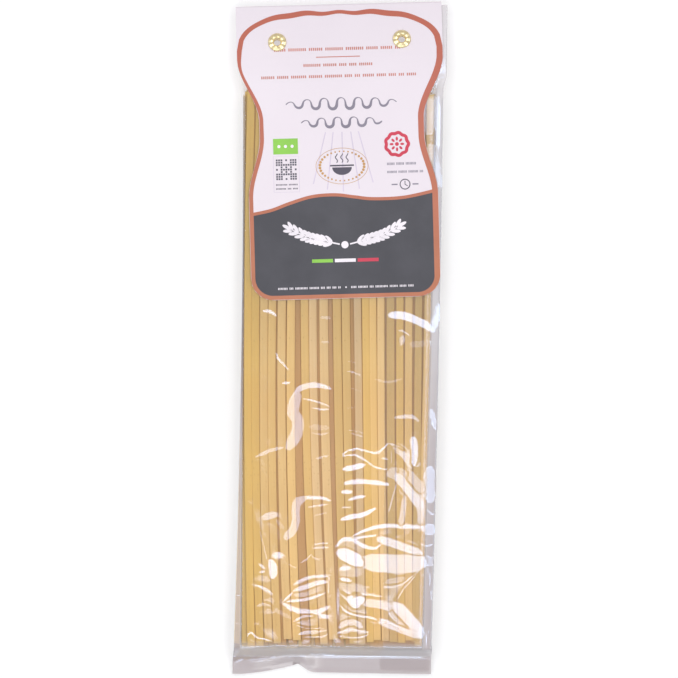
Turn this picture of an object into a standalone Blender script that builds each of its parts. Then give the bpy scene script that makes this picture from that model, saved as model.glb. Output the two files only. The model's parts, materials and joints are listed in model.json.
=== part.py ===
"""A clear gusseted film bag of straight fettuccine with a die-cut card header, lying on its back.

The bag is one solid of its outer form: the seal flap, the filled body with the strands showing through as
ridges, the flat neck. The card folds over the neck and two eyelets hold both. Metres, +Z up, +Y towards the
header. The origin is on the surface the pack lies on, under the middle of its box.
"""

import math
import random

import bmesh
import bpy
from mathutils import Matrix, Vector

MM = 0.001
SEED = 11

# The pasta inside: how far it reaches along Y, its sides at the seal end and at the neck end, and its strands
PASTA_SEAL_END = -145.5 * MM
PASTA_NECK_END = 115.1 * MM
PASTA_LEFT = (-42.1 * MM, -44.3 * MM)
PASTA_RIGHT = (42.5 * MM, 44.9 * MM)
FRONT_STRANDS = 21
STRAND_EDGE = 0.7 * MM
GROOVE_DEPTH = 0.55 * MM
STRAND_RISE = (-0.35 * MM, 0.35 * MM)
STRAND_LEAN = 1.8 * MM
STRAND_JITTER = 0.45 * MM

# The film bag, with its side creases' places at the seal end, halfway and at the neck end
BODY_HEIGHT = 22.2 * MM
FILM_STACK = 0.8 * MM
CROWN = 0.9 * MM
LEFT_CREASE = (-45.7 * MM, -44.4 * MM, -45.5 * MM)
RIGHT_CREASE = (47.1 * MM, 48.3 * MM, 48.4 * MM)
NECK_LEFT = -46.5 * MM
NECK_RIGHT = 49.7 * MM
SHOULDER_LENGTH = 6.5 * MM
NECK_INSIDE_FOLD = 1.6 * MM
STRAND_END_ROUND = 3.2 * MM
BODY_STATIONS = 15

# The heat-sealed flap at the bottom: it tips towards the floor, most of all at a dent left of the middle
SEAL_LINE = -149.5 * MM
SEAL_HEIGHT = 10.5 * MM
FLAP_LEFT = -46.3 * MM
FLAP_RIGHT = 46.9 * MM
FLAP_LENGTH = 9.3 * MM
LEFT_TIP = math.radians(14)
RIGHT_TIP = math.radians(34)
DENT_TIP = math.radians(64)
DENT_PLACE = -15.8 * MM
DENT_LEFT = 27.0 * MM
DENT_RIGHT = 9.5 * MM
CORNER_SAG = 2.5 * MM
SAG_START = 0.3

# The card header, in its own frame: across from its middle, and down from its fold
CARD_TURN = math.radians(2.43)
CARD_MIDDLE = Vector((-1.4 * MM, 156.5 * MM))
CARD_LENGTH = 138.0 * MM
CARD_THICKNESS = 0.5 * MM
TOP_HALF_WIDTH = 48.3 * MM
WAIST_HALF_WIDTH = 38.6 * MM
FOOT_HALF_WIDTH = 44.4 * MM
TOP_TO_WAIST = (25.0 * MM, 54.0 * MM)
WAIST_TO_FOOT = (62.0 * MM, 90.0 * MM)
FOOT_CORNER = 10.3 * MM
BACK_PANEL = 30.0 * MM
CARD_REST = 22.9 * MM
DROOP_START = 38.0 * MM
DROOP = 6.5 * MM
DROOP_POWER = 1.6
GAP = 0.3 * MM
CARD_COLUMNS = 9
# Where the card has a row of points: every so far at its waist, and at these places near its fold
WAIST_ROW_STEP = 3.6 * MM
FRONT_ROWS = (20.0 * MM, 16.0 * MM, 11.0 * MM, 6.0 * MM)
BACK_ROWS = (8.0 * MM, 13.0 * MM, 21.0 * MM)
FOOT_ROW_STEP = 8.0 * MM
CORNER_TURNS = (0, 18, 36, 54, 72, 90)
FOLD_TURNS = (30, 60, 90, 120, 150)

# The eyelets, in the card's frame
EYELET_ACROSS = 29.2 * MM
EYELET_DOWN = 17.3 * MM
EYELET_FLANGE = 4.3 * MM
EYELET_BARREL = 2.1 * MM
EYELET_HOLE = 1.7 * MM
EYELET_METAL = 0.5 * MM
EYELET_CROWN = 0.75 * MM
EYELET_ROUND = 0.35 * MM
EYELET_PETALS = 9
SIDES_PER_PETAL = 4
BARREL_SIDES = 20
CUTTER_LENGTH = 16.0 * MM
PETAL_DEPTH = 0.16 * MM

COLOURS = {
    "film_and_pasta": ((0.80, 0.58, 0.28), 0.35, 0.0),
    "card": ((0.92, 0.86, 0.90), 0.45, 0.0),
    "brass": ((0.83, 0.66, 0.33), 0.30, 1.0),
}


def smooth(start, end, value):
    """0 before start and 1 after end, with a soft change between them."""
    share = min(max((value - start) / (end - start), 0.0), 1.0)
    return share * share * (3 - 2 * share)


def mix(a, b, share):
    return a + (b - a) * share


def clear_scene():
    for old in list(bpy.data.objects):
        bpy.data.objects.remove(old)


def material(name):
    colour, roughness, metallic = COLOURS[name]
    made = bpy.data.materials.new(name)
    made.use_nodes = True
    shader = made.node_tree.nodes["Principled BSDF"]
    shader.inputs["Base Color"].default_value = (*colour, 1.0)
    shader.inputs["Roughness"].default_value = roughness
    shader.inputs["Metallic"].default_value = metallic
    return made


def add_object(name, mesh_data, look):
    """An object of this bmesh, with one material, in the scene."""
    bmesh.ops.recalc_face_normals(mesh_data, faces=mesh_data.faces)
    mesh = bpy.data.meshes.new(name)
    mesh_data.to_mesh(mesh)
    mesh_data.free()
    mesh.materials.append(look)
    made = bpy.data.objects.new(name, mesh)
    bpy.context.scene.collection.objects.link(made)
    return made


def loft(mesh_data, rings):
    """Joins closed rings of points with quads and returns the rings' vertices. The ends stay open."""
    made = [[mesh_data.verts.new(point) for point in ring] for ring in rings]
    for near, far in zip(made, made[1:]):
        for i in range(len(near)):
            j = (i + 1) % len(near)
            mesh_data.faces.new((near[i], near[j], far[j], far[i]))
    return made


def fill_strip(mesh_data, upper, lower):
    """Triangles between two rows of vertices that both run from left to right and share no vertex."""
    i, j = 0, 0
    while i < len(upper) - 1 or j < len(lower) - 1:
        step_upper = j == len(lower) - 1 or (
            i < len(upper) - 1 and upper[i + 1].co.x <= lower[j + 1].co.x
        )
        if step_upper:
            mesh_data.faces.new((upper[i], upper[i + 1], lower[j]))
            i += 1
        else:
            mesh_data.faces.new((upper[i], lower[j], lower[j + 1]))
            j += 1


# The card's own frame: across and down, and the height that the card's underside has there

CARD_AXIS = Vector((math.cos(CARD_TURN), math.sin(CARD_TURN)))
CARD_DOWN = Vector((math.sin(CARD_TURN), -math.cos(CARD_TURN)))


def on_card(across, down):
    """The X and Y of a place on the card."""
    return CARD_MIDDLE + CARD_AXIS * across + CARD_DOWN * down


def down_card(x, y):
    """How far a point lies below the card's fold."""
    return (Vector((x, y)) - CARD_MIDDLE).dot(CARD_DOWN)


def y_at(x, down):
    """The Y where the line that runs this far below the fold passes a given X."""
    return CARD_MIDDLE.y + (math.sin(CARD_TURN) * (x - CARD_MIDDLE.x) - down) / math.cos(CARD_TURN)


def card_underside(down):
    """The card lies level on the pasta and droops a little towards its fold."""
    return CARD_REST - DROOP * max(0.0, 1 - down / DROOP_START) ** DROOP_POWER


def card_half_width(down):
    width = mix(TOP_HALF_WIDTH, WAIST_HALF_WIDTH, smooth(*TOP_TO_WAIST, down))
    width += (FOOT_HALF_WIDTH - WAIST_HALF_WIDTH) * smooth(*WAIST_TO_FOOT, down)
    into_corner = FOOT_CORNER - (CARD_LENGTH - down)
    if into_corner > 0:
        width -= FOOT_CORNER - math.sqrt(max(FOOT_CORNER**2 - into_corner**2, 0.0))
    return width


# The bag: rings round it from the flap's end to the neck's end

# Half of a side, from the front face to the back face: how far out towards the crease between the front and
# the gusset, as a share, and how high, as a share of the body.
SIDE = (
    (0.30, 0.965),
    (1.00, 0.925),
    (1.00, 0.885),
    (0.30, 0.840),
    (0.14, 0.480),
    (0.24, 0.130),
    (0.80, 0.075),
    (0.80, 0.035),
    (0.10, 0.000),
)
SIDE_ON_FRONT = 2
FLAT_STEP = 0.9 * MM
BACK_POINTS = 9
# How full the bag is on its way from flat film to the filled body, as angles on a quarter of an ellipse
FILLING = tuple(math.radians(turn) for turn in (18, 38, 58, 76))


def strand_lines():
    """Each line between front strands, as X at the seal end and at the neck end, and each strand's rise."""
    draw = random.Random(SEED)
    lines = []
    for k in range(FRONT_STRANDS + 1):
        share = k / FRONT_STRANDS
        inside = 0.0 if k in (0, FRONT_STRANDS) else 1.0
        lean = STRAND_LEAN * math.sin(math.pi * share)
        seal_off = inside * (draw.uniform(-STRAND_JITTER, STRAND_JITTER) + lean)
        neck_off = inside * (draw.uniform(-STRAND_JITTER, STRAND_JITTER) - lean)
        seal_x = mix(PASTA_LEFT[0], PASTA_RIGHT[0], share) + seal_off
        neck_x = mix(PASTA_LEFT[1], PASTA_RIGHT[1], share) + neck_off
        lines.append((seal_x, neck_x))
    rises = [draw.uniform(*STRAND_RISE) for _ in range(FRONT_STRANDS)]
    return lines, rises


def crease(places, share):
    """Where a side crease is at a share of the length: a curve through its three places."""
    seal, middle, neck = places
    bow = middle - (seal + neck) / 2
    return mix(seal, neck, share) + bow * 4 * share * (1 - share)


def body_top(x, left, right):
    """The front face without its strands: nearly level, and lower towards the sides."""
    out = abs(x - (left + right) / 2) / ((right - left) / 2)
    return BODY_HEIGHT - CROWN * min(out, 1.0) ** 4


def front_points(share, lines, rises):
    """X and Z of the filled body's front face, from left to right, at a share of the pasta's length."""
    edges = [mix(seal_x, neck_x, share) for seal_x, neck_x in lines]
    ends = (edges[0], edges[-1])
    points = [(edges[0], body_top(edges[0], *ends) - GROOVE_DEPTH)]
    for left, right, rise in zip(edges, edges[1:], rises):
        points.append((left + STRAND_EDGE, body_top(left, *ends) + rise))
        points.append((right - STRAND_EDGE, body_top(right, *ends) + rise))
        points.append((right, body_top(right, *ends) - GROOVE_DEPTH))
    return points


def full_ring(share, lines, rises):
    """X and Z round the filled body: front face, right side, back face, left side."""
    front = front_points(share, lines, rises)
    sides = []
    for (x, _), places in ((front[-1], RIGHT_CREASE), (front[0], LEFT_CREASE)):
        edge = crease(places, share)
        sides.append([(mix(x, edge, out), BODY_HEIGHT * high) for out, high in SIDE])
    right, left = sides
    back = [
        (mix(front[-1][0], front[0][0], (k + 1) / (BACK_POINTS + 1)), 0.0)
        for k in range(BACK_POINTS)
    ]
    return front + right + back + left[::-1]


def flat_ring(left_edge, right_edge, share, lines, rises):
    """X and side (1 front, -1 back) round the flattened film, with as many points as full_ring."""
    front = front_points(share, lines, rises)
    first, last = front[0][0], front[-1][0]
    inset = FLAT_STEP * SIDE_ON_FRONT
    ring = [
        (mix(left_edge + inset, right_edge - inset, (x - first) / (last - first)), 1)
        for x, _ in front
    ]
    steps = [(SIDE_ON_FRONT - 1 - k, 1) for k in range(SIDE_ON_FRONT)]
    steps += [(k, -1) for k in range(len(SIDE) - SIDE_ON_FRONT)]
    right = [(right_edge - FLAT_STEP * step, side) for step, side in steps]
    left = [(left_edge + FLAT_STEP * step, side) for step, side in steps]
    back = [
        (mix(right[-1][0], left[-1][0], (k + 1) / (BACK_POINTS + 1)), -1)
        for k in range(BACK_POINTS)
    ]
    return ring + right + back + left[::-1]


def flap_tip(x):
    """How steeply the flap points down at this X."""
    plain = mix(LEFT_TIP, RIGHT_TIP, smooth(DENT_PLACE, DENT_PLACE + DENT_RIGHT, x))
    if x < DENT_PLACE:
        share = max(0.0, 1 - (DENT_PLACE - x) / DENT_LEFT)
    else:
        share = 1 - smooth(0.0, DENT_RIGHT, x - DENT_PLACE)
    return mix(plain, DENT_TIP, share)


def flap_point(x, side, along):
    """A point of the flap. Its seal line is level, with the left corner hanging lower."""
    tip = flap_tip(x)
    lift = side * FILM_STACK / 2
    line = SEAL_HEIGHT - CORNER_SAG * smooth(SAG_START, 1.0, x / FLAP_LEFT)
    y = SEAL_LINE - along * math.cos(tip) - lift * math.sin(tip)
    return Vector((x, y, line - along * math.sin(tip) + lift * math.cos(tip)))


def neck_point(x, side, down):
    """A point of the flattened neck, which runs just under the card."""
    middle = card_underside(down) - GAP - FILM_STACK / 2
    return Vector((x, y_at(x, down), middle + side * FILM_STACK / 2))


def shoulder_ring(flat_points, full_points, full_y, turn):
    """A ring between the flat film and the filled body, whose last full section is at full_y."""
    fullness = math.sin(turn)
    ring = []
    for flat, (full_x, full_z) in zip(flat_points, full_points):
        y = mix(full_y, flat.y, math.cos(turn))
        ring.append(Vector((mix(flat.x, full_x, fullness), y, mix(flat.z, full_z, fullness))))
    return ring


def bag_rings():
    lines, rises = strand_lines()
    flap = flat_ring(FLAP_LEFT, FLAP_RIGHT, 0.0, lines, rises)
    seal = [flap_point(x, side, 0.0) for x, side in flap]
    rings = [
        [flap_point(x, side, FLAP_LENGTH * share) for x, side in flap]
        for share in (1.0, 0.5)
    ]
    rings.append(seal)

    full_start = PASTA_SEAL_END + STRAND_END_ROUND
    first = full_ring(0.0, lines, rises)
    rings += [shoulder_ring(seal, first, full_start, turn) for turn in FILLING]
    for k in range(BODY_STATIONS):
        share = k / (BODY_STATIONS - 1)
        y = mix(full_start, PASTA_NECK_END, share)
        rings.append([Vector((x, y, z)) for x, z in full_ring(share, lines, rises)])

    # The neck's lines run along the turned card.
    neck = flat_ring(NECK_LEFT, NECK_RIGHT, 1.0, lines, rises)
    neck_start = down_card(0.0, PASTA_NECK_END + SHOULDER_LENGTH)
    throat = [neck_point(x, side, neck_start) for x, side in neck]
    last = full_ring(1.0, lines, rises)
    rings += [shoulder_ring(throat, last, PASTA_NECK_END, turn) for turn in FILLING[::-1]]
    rings.append(throat)
    for share in (0.25, 0.5, 0.75, 1.0):
        down = mix(neck_start, NECK_INSIDE_FOLD, share)
        rings.append([neck_point(x, side, down) for x, side in neck])
    return rings


def build_bag(look):
    mesh_data = bmesh.new()
    rings = loft(mesh_data, bag_rings())
    front = 3 * FRONT_STRANDS + 1
    for ring in (rings[0], rings[-1]):
        upper = ring[-SIDE_ON_FRONT:] + ring[: front + SIDE_ON_FRONT]
        lower = ring[front + SIDE_ON_FRONT : -SIDE_ON_FRONT][::-1]
        mesh_data.faces.new((upper[0], upper[1], lower[0]))
        fill_strip(mesh_data, upper[1:], lower)
    return add_object("pasta_bag", mesh_data, look)


# The card: one ribbon of even thickness along a path from its foot over the fold to the end of its back panel


def card_path():
    """Places along the card's middle surface: (down, height, the way its front faces in down and height)."""
    middle = CARD_THICKNESS / 2
    stack = FILM_STACK + 2 * GAP + CARD_THICKNESS
    radius = stack / 2
    fold_start = radius + middle
    corner_start = CARD_LENGTH - FOOT_CORNER
    waist_rows = int((WAIST_TO_FOOT[1] - TOP_TO_WAIST[0]) / WAIST_ROW_STEP) + 1
    foot_rows = int((corner_start - WAIST_TO_FOOT[1]) / FOOT_ROW_STEP)
    downs = [corner_start + FOOT_CORNER * math.cos(math.radians(turn)) for turn in CORNER_TURNS]
    downs += [corner_start - FOOT_ROW_STEP * (k + 1) for k in range(foot_rows)]
    downs += [WAIST_TO_FOOT[1] - WAIST_ROW_STEP * k for k in range(waist_rows)]
    downs += [*FRONT_ROWS, fold_start]
    path = [(down, card_underside(down) + middle, (0.0, 1.0)) for down in downs]
    centre = card_underside(fold_start) + middle - radius
    for turn in FOLD_TURNS:
        s, c = math.sin(math.radians(turn)), math.cos(math.radians(turn))
        path.append((fold_start - radius * s, centre + radius * c, (-s, c)))
    for down in (fold_start, *BACK_ROWS, BACK_PANEL):
        path.append((down, card_underside(down) + middle - stack, (0.0, -1.0)))
    return path


def build_card(look):
    mesh_data = bmesh.new()
    rings = []
    for down, height, (face_down, face_up) in card_path():
        half = card_half_width(down)
        ring = []
        for offset in (CARD_THICKNESS / 2, -CARD_THICKNESS / 2):
            row = []
            for k in range(CARD_COLUMNS):
                across = mix(-half, half, k / (CARD_COLUMNS - 1))
                place = on_card(across, down + face_down * offset)
                row.append(Vector((place.x, place.y, height + face_up * offset)))
            ring += row if offset > 0 else row[::-1]
        rings.append(ring)
    made = loft(mesh_data, rings)
    for ring in (made[0], made[-1]):
        upper, lower = ring[:CARD_COLUMNS], ring[CARD_COLUMNS:][::-1]
        for k in range(CARD_COLUMNS - 1):
            mesh_data.faces.new((upper[k], upper[k + 1], lower[k + 1], lower[k]))
    return add_object("header_card", mesh_data, look)


# The eyelets: a crimped front flange, a barrel through card and neck, and a flat back flange


def eyelet_frame(across):
    """Where an eyelet sits: the matrix that puts its axis square to the card, at the card's front face."""
    place = on_card(across, EYELET_DOWN)
    step = 1.0 * MM
    rise = card_underside(EYELET_DOWN - step) - card_underside(EYELET_DOWN + step)
    tilt = math.atan2(rise, 2 * step)
    height = card_underside(EYELET_DOWN) + CARD_THICKNESS
    return (
        Matrix.Translation((place.x, place.y, height))
        @ Matrix.Rotation(CARD_TURN, 4, "Z")
        @ Matrix.Rotation(tilt, 4, "X")
    )


def eyelet_profile():
    """Radius, height above the card's front face, and how much the petals shape it there."""
    through = 2 * CARD_THICKNESS + FILM_STACK + 2 * GAP
    back = -through - GAP
    return (
        (EYELET_HOLE, GAP + EYELET_CROWN - EYELET_METAL, 0.0),
        (EYELET_HOLE + EYELET_METAL, GAP + EYELET_CROWN, 0.3),
        ((EYELET_HOLE + EYELET_FLANGE) / 2, GAP + EYELET_CROWN, 1.0),
        (EYELET_FLANGE - EYELET_ROUND, GAP + EYELET_METAL, 1.0),
        (EYELET_FLANGE, GAP + EYELET_ROUND / 2, 0.5),
        (EYELET_FLANGE - EYELET_ROUND / 2, GAP, 0.0),
        (EYELET_BARREL, GAP, 0.0),
        (EYELET_BARREL, back, 0.0),
        (EYELET_FLANGE - EYELET_ROUND, back, 0.0),
        (EYELET_FLANGE - EYELET_ROUND, back - EYELET_METAL, 0.0),
        (EYELET_HOLE, back - EYELET_METAL, 0.0),
    )


def build_eyelet(name, across, look):
    sides = SIDES_PER_PETAL * EYELET_PETALS
    frame = eyelet_frame(across)
    mesh_data = bmesh.new()
    rings = []
    for k in range(sides):
        angle = math.tau * k / sides
        petal = math.cos(EYELET_PETALS * angle) * PETAL_DEPTH
        ring = []
        for radius, height, share in eyelet_profile():
            point = Vector((radius * math.cos(angle), radius * math.sin(angle), height + petal * share))
            ring.append(frame @ point)
        rings.append(ring)
    made = loft(mesh_data, rings)
    last, first = made[-1], made[0]
    for i in range(len(first)):
        j = (i + 1) % len(first)
        mesh_data.faces.new((last[i], last[j], first[j], first[i]))
    return add_object(name, mesh_data, look)


def cut_barrel_hole(target, across):
    """A round hole through the target for an eyelet's barrel. The cutter stays as a hidden guide."""
    mesh_data = bmesh.new()
    bmesh.ops.create_cone(
        mesh_data,
        cap_ends=True,
        segments=BARREL_SIDES,
        radius1=EYELET_BARREL + GAP,
        radius2=EYELET_BARREL + GAP,
        depth=CUTTER_LENGTH,
        matrix=eyelet_frame(across),
    )
    side = "left" if across < 0 else "right"
    cutter = add_object(f"cutter_{target.name}_{side}", mesh_data, target.active_material)
    cutter.hide_render = True
    cutter.display_type = "WIRE"
    cut = target.modifiers.new("barrel hole", "BOOLEAN")
    cut.operation = "DIFFERENCE"
    cut.solver = "EXACT"
    cut.object = cutter


def main():
    clear_scene()
    brass = material("brass")
    bag = build_bag(material("film_and_pasta"))
    card = build_card(material("card"))
    for name, across in (("eyelet_left", -EYELET_ACROSS), ("eyelet_right", EYELET_ACROSS)):
        build_eyelet(name, across, brass)
        for target in (bag, card):
            cut_barrel_hole(target, across)


main()
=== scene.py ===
import json
import math
import random

import bmesh
import bpy
import numpy as np
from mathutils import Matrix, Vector

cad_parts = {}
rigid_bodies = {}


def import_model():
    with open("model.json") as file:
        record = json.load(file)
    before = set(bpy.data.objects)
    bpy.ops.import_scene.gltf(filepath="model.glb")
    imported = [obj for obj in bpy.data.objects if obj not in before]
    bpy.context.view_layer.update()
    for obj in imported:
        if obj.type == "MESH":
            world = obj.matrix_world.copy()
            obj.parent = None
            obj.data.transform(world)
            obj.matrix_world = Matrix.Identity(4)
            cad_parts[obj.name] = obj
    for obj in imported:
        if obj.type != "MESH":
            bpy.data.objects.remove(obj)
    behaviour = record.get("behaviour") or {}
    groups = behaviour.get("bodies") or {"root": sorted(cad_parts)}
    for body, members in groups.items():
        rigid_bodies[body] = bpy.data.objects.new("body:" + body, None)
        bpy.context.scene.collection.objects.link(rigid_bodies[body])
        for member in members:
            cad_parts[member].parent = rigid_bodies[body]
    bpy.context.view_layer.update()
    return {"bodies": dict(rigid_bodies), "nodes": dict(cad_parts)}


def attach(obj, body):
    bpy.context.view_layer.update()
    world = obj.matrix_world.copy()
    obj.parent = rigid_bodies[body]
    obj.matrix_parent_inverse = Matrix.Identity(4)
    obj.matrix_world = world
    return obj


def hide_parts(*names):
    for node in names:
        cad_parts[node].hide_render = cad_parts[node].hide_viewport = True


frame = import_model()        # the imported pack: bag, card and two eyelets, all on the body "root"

mm = 0.001
bodyName = next(iter(frame["bodies"]))

# Everything below is in millimetres in the frame of the part, and becomes metres when a mesh is made.

bag = {
    "pastaEnds": (-145.5, 115.1),        # at the seal and at the neck
    "pastaLeft": (-42.1, -44.3),
    "pastaRight": (42.5, 44.9),
    "height": 22.2,
    "crown": 0.9,                        # how much lower the front face is at its sides
    "leftCrease": (-45.7, -44.4, -45.5),  # at the seal, halfway and at the neck
    "rightCrease": (47.1, 48.3, 48.4),
    "creaseHeight": 20.1,
    "neck": (-46.5, 49.7),
    "neckInside": 1.6,
    "shoulder": 6.5,
    "endRound": 3.2,
    "stack": 0.8,                        # all layers of flattened film
}

seal = {
    "line": -149.5,
    "height": 10.5,
    "left": -46.3,
    "right": 46.9,
    "length": 9.3,
    "tips": (14.0, 34.0, 64.0),          # degrees down: left, right and at the dent
    "dent": -15.8,
    "dentLeft": 27.0,
    "dentRight": 9.5,
    "cornerSag": 2.5,
    "lineDrop": 3.7,                     # how far the line curves down towards the left corner
    "dropStart": -16.0,
}

card = {
    "turn": math.radians(2.43),
    "middle": (-1.4, 156.5),
    "length": 138.0,
    "thickness": 0.5,
    "halfWidths": (48.3, 38.6, 44.4),    # top, waist and foot
    "topToWaist": (25.0, 54.0),
    "waistToFoot": (62.0, 90.0),
    "footCorner": 10.3,
    "rest": 22.9,                        # height of its underside on the pasta
    "droopStart": 38.0,
    "droop": 6.5,
    "droopPower": 1.6,
    "gap": 0.3,
}


def mix(a, b, share):
    return a + (b - a) * share


def smooth(start, end, value):
    share = np.clip((value - start) / (end - start), 0.0, 1.0)
    return share * share * (3 - 2 * share)


def crease(places, share):
    atSeal, halfway, atNeck = places
    bow = halfway - (atSeal + atNeck) / 2
    return mix(atSeal, atNeck, share) + bow * 4 * share * (1 - share)


def bodyTop(x, left, right):
    out = np.abs(x - (left + right) / 2) / ((right - left) / 2)
    return bag["height"] - bag["crown"] * np.minimum(out, 1.0) ** 4


def onCard(across, down):
    c, s = math.cos(card["turn"]), math.sin(card["turn"])
    return card["middle"][0] + c * across + s * down, card["middle"][1] + s * across - c * down


def yAt(x, down):
    c, s = math.cos(card["turn"]), math.sin(card["turn"])
    return card["middle"][1] + (s * (x - card["middle"][0]) - down) / c


def cardUnderside(down):
    lift = np.maximum(0.0, 1 - down / card["droopStart"]) ** card["droopPower"]
    return card["rest"] - card["droop"] * lift


def cardHalfWidth(down):
    top, waist, foot = card["halfWidths"]
    width = mix(top, waist, smooth(*card["topToWaist"], down))
    width = width + (foot - waist) * smooth(*card["waistToFoot"], down)
    intoCorner = card["footCorner"] - (card["length"] - down)
    if intoCorner > 0:
        width -= card["footCorner"] - math.sqrt(max(card["footCorner"] ** 2 - intoCorner**2, 0.0))
    return float(width)


def linkPiece(name, mesh):
    piece = bpy.data.objects.new(name, mesh)
    bpy.context.scene.collection.objects.link(piece)
    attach(piece, bodyName)
    return piece


def meshPiece(name, points, faces, material, shadeSmooth=True):
    mesh = bpy.data.meshes.new(name)
    mesh.from_pydata([tuple(float(v) * mm for v in point) for point in points], [], faces)
    mesh.materials.append(material)
    mesh.polygons.foreach_set("use_smooth", [shadeSmooth] * len(mesh.polygons))
    mesh.update()
    return linkPiece(name, mesh)


# Node trees

def newMaterial(name):
    material = bpy.data.materials.new(name)
    material.use_nodes = True
    tree = material.node_tree
    tree.nodes.clear()
    output = tree.nodes.new("ShaderNodeOutputMaterial")
    return material, tree, output


# A node with its settings, each input given as a value or as the socket to link from
def addNode(tree, kind, inputs=None, **settings):
    node = tree.nodes.new(kind)
    for key, value in settings.items():
        setattr(node, key, value)
    for key, value in (inputs or {}).items():
        if isinstance(value, bpy.types.NodeSocket):
            tree.links.new(value, node.inputs[key])
        else:
            node.inputs[key].default_value = value
    return node


def calc(tree, operation, a, b=0.0, clamp=False):
    return addNode(tree, "ShaderNodeMath", {0: a, 1: b}, operation=operation, use_clamp=clamp).outputs[0]


def ranged(tree, value, low=0.0, high=1.0, start=0.0, end=1.0):
    return addNode(tree, "ShaderNodeMapRange", {0: value, 1: low, 2: high, 3: start, 4: end}).outputs[0]


def axes(tree, vector):
    return addNode(tree, "ShaderNodeSeparateXYZ", {0: vector}).outputs


def objectPlace(tree):
    return addNode(tree, "ShaderNodeTexCoord").outputs["Object"]


def attribute(tree, name, output):
    return addNode(tree, "ShaderNodeAttribute", attribute_name=name).outputs[output]


def noise(tree, place, scale, detail):
    inputs = {"Vector": place, "Scale": scale, "Detail": detail}
    return addNode(tree, "ShaderNodeTexNoise", inputs).outputs["Fac"]


# Noise with a scale of its own along each axis
def streaks(tree, place, scales, detail):
    stretched = addNode(tree, "ShaderNodeMapping", {"Vector": place, "Scale": scales})
    return noise(tree, stretched.outputs[0], 1.0, detail)


def bump(tree, height, strength, depth, under=None):
    inputs = {"Height": height, "Strength": strength, "Distance": depth * mm}
    if under is not None:
        inputs["Normal"] = under
    return addNode(tree, "ShaderNodeBump", inputs).outputs[0]


def ramp(tree, factor, stops):
    node = addNode(tree, "ShaderNodeValToRGB", {"Fac": factor})
    for element, (place, colour) in zip(node.color_ramp.elements, stops):
        element.position = place
        element.color = (*colour, 1.0)
    return node.outputs["Color"]


def mixColour(tree, factor, a, b, blend="MIX"):
    values = {0: factor, 6: a, 7: b}
    values = {key: (*value, 1.0) if isinstance(value, tuple) else value for key, value in values.items()}
    return addNode(tree, "ShaderNodeMix", values, data_type="RGBA", blend_type=blend).outputs[2]


def setSurface(tree, output, inputs, kind="ShaderNodeBsdfPrincipled"):
    shader = addNode(tree, kind, inputs)
    tree.links.new(shader.outputs[0], output.inputs["Surface"])


pastaLook = {
    "straw": (0.94, 0.67, 0.19),
    "cream": (0.93, 0.735, 0.475),
    "deep": (0.70, 0.42, 0.13),
    "speck": (0.42, 0.22, 0.08),
    "gap": (0.48, 0.215, 0.04),          # painted shade of the front strands' edges and of the strands seen between them
    "gapShadeShare": 0.78,
    "edge": (1.75, 2.05),                # how far from a strand's middle its edge darkens with painted shade, in millimetres
    "paintedCardShadow": 0.88,                   # painted shadow of the card: brightness of the strands close to it
    "paintedCardShadowYs": (-30.0, 20.0),        # from where to where they darken to that, in millimetres
    "dieLines": (2600.0, 14.0, 2600.0),  # noise scales across, along and through a strand, for each metre
    "patches": (160.0, 28.0, 160.0),
    "lineShare": 0.3,
    "patchShare": 0.28,
    "grain": 1500.0,
    "specks": 420.0,
    "roughness": 0.62,
}


# The strands' attribute tone holds the share of cream, the brightness, and how much painted shade a strand
# gets: only at its edges above 0, and all of it below 0.
def pastaMaterial():
    look = pastaLook
    material, tree, output = newMaterial("drySemolinaPasta")
    place = attribute(tree, "strandPlace", "Vector")
    cream, shade, paintedShadeAmount = axes(tree, attribute(tree, "tone", "Vector"))
    dieLines = streaks(tree, place, look["dieLines"], 3.0)
    patches = streaks(tree, place, look["patches"], 2.0)
    base = mixColour(tree, cream, look["straw"], look["cream"])
    base = mixColour(tree, ranged(tree, patches, 0.35, 0.75, 0.0, look["patchShare"]), base, look["deep"])
    base = mixColour(tree, ranged(tree, dieLines, 0.35, 0.8, 0.0, look["lineShare"]), base, look["deep"])
    specks = addNode(tree, "ShaderNodeTexVoronoi", {"Vector": place, "Scale": look["specks"]})
    speckShare = ranged(tree, specks.outputs["Distance"], 0.05, 0.13, 0.5, 0.0)
    base = mixColour(tree, speckShare, base, look["speck"])
    base = mixColour(tree, 1.0, base, shade, "MULTIPLY")
    # Painted shade: front strands darken towards their edges, and strands seen in the gaps darken all over
    out = calc(tree, "ABSOLUTE", axes(tree, place)["X"])
    edge = ranged(tree, out, *(distance * mm for distance in look["edge"]))
    paintedEdgeShade = calc(tree, "MULTIPLY", edge, paintedShadeAmount)
    paintedShade = calc(tree, "MAXIMUM", paintedEdgeShade, calc(tree, "MULTIPLY", paintedShadeAmount, -1.0))
    base = mixColour(tree, calc(tree, "MULTIPLY", paintedShade, look["gapShadeShare"], clamp=True), base, look["gap"])
    # Painted shadow of the card: the strands darken towards it
    along = axes(tree, objectPlace(tree))["Y"]
    shadeStart, shadeFull = (y * mm for y in look["paintedCardShadowYs"])
    paintedCardShadow = ranged(tree, along, shadeStart, shadeFull, 1.0, look["paintedCardShadow"])
    base = mixColour(tree, 1.0, base, paintedCardShadow, "MULTIPLY")
    rough = bump(tree, dieLines, 0.35, 0.12)
    normal = bump(tree, noise(tree, place, look["grain"], 4.0), 0.25, 0.1, rough)
    setSurface(tree, output, {
        "Base Color": base, "Roughness": look["roughness"], "Specular IOR Level": 0.25, "Normal": normal,
    })
    return material


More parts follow.
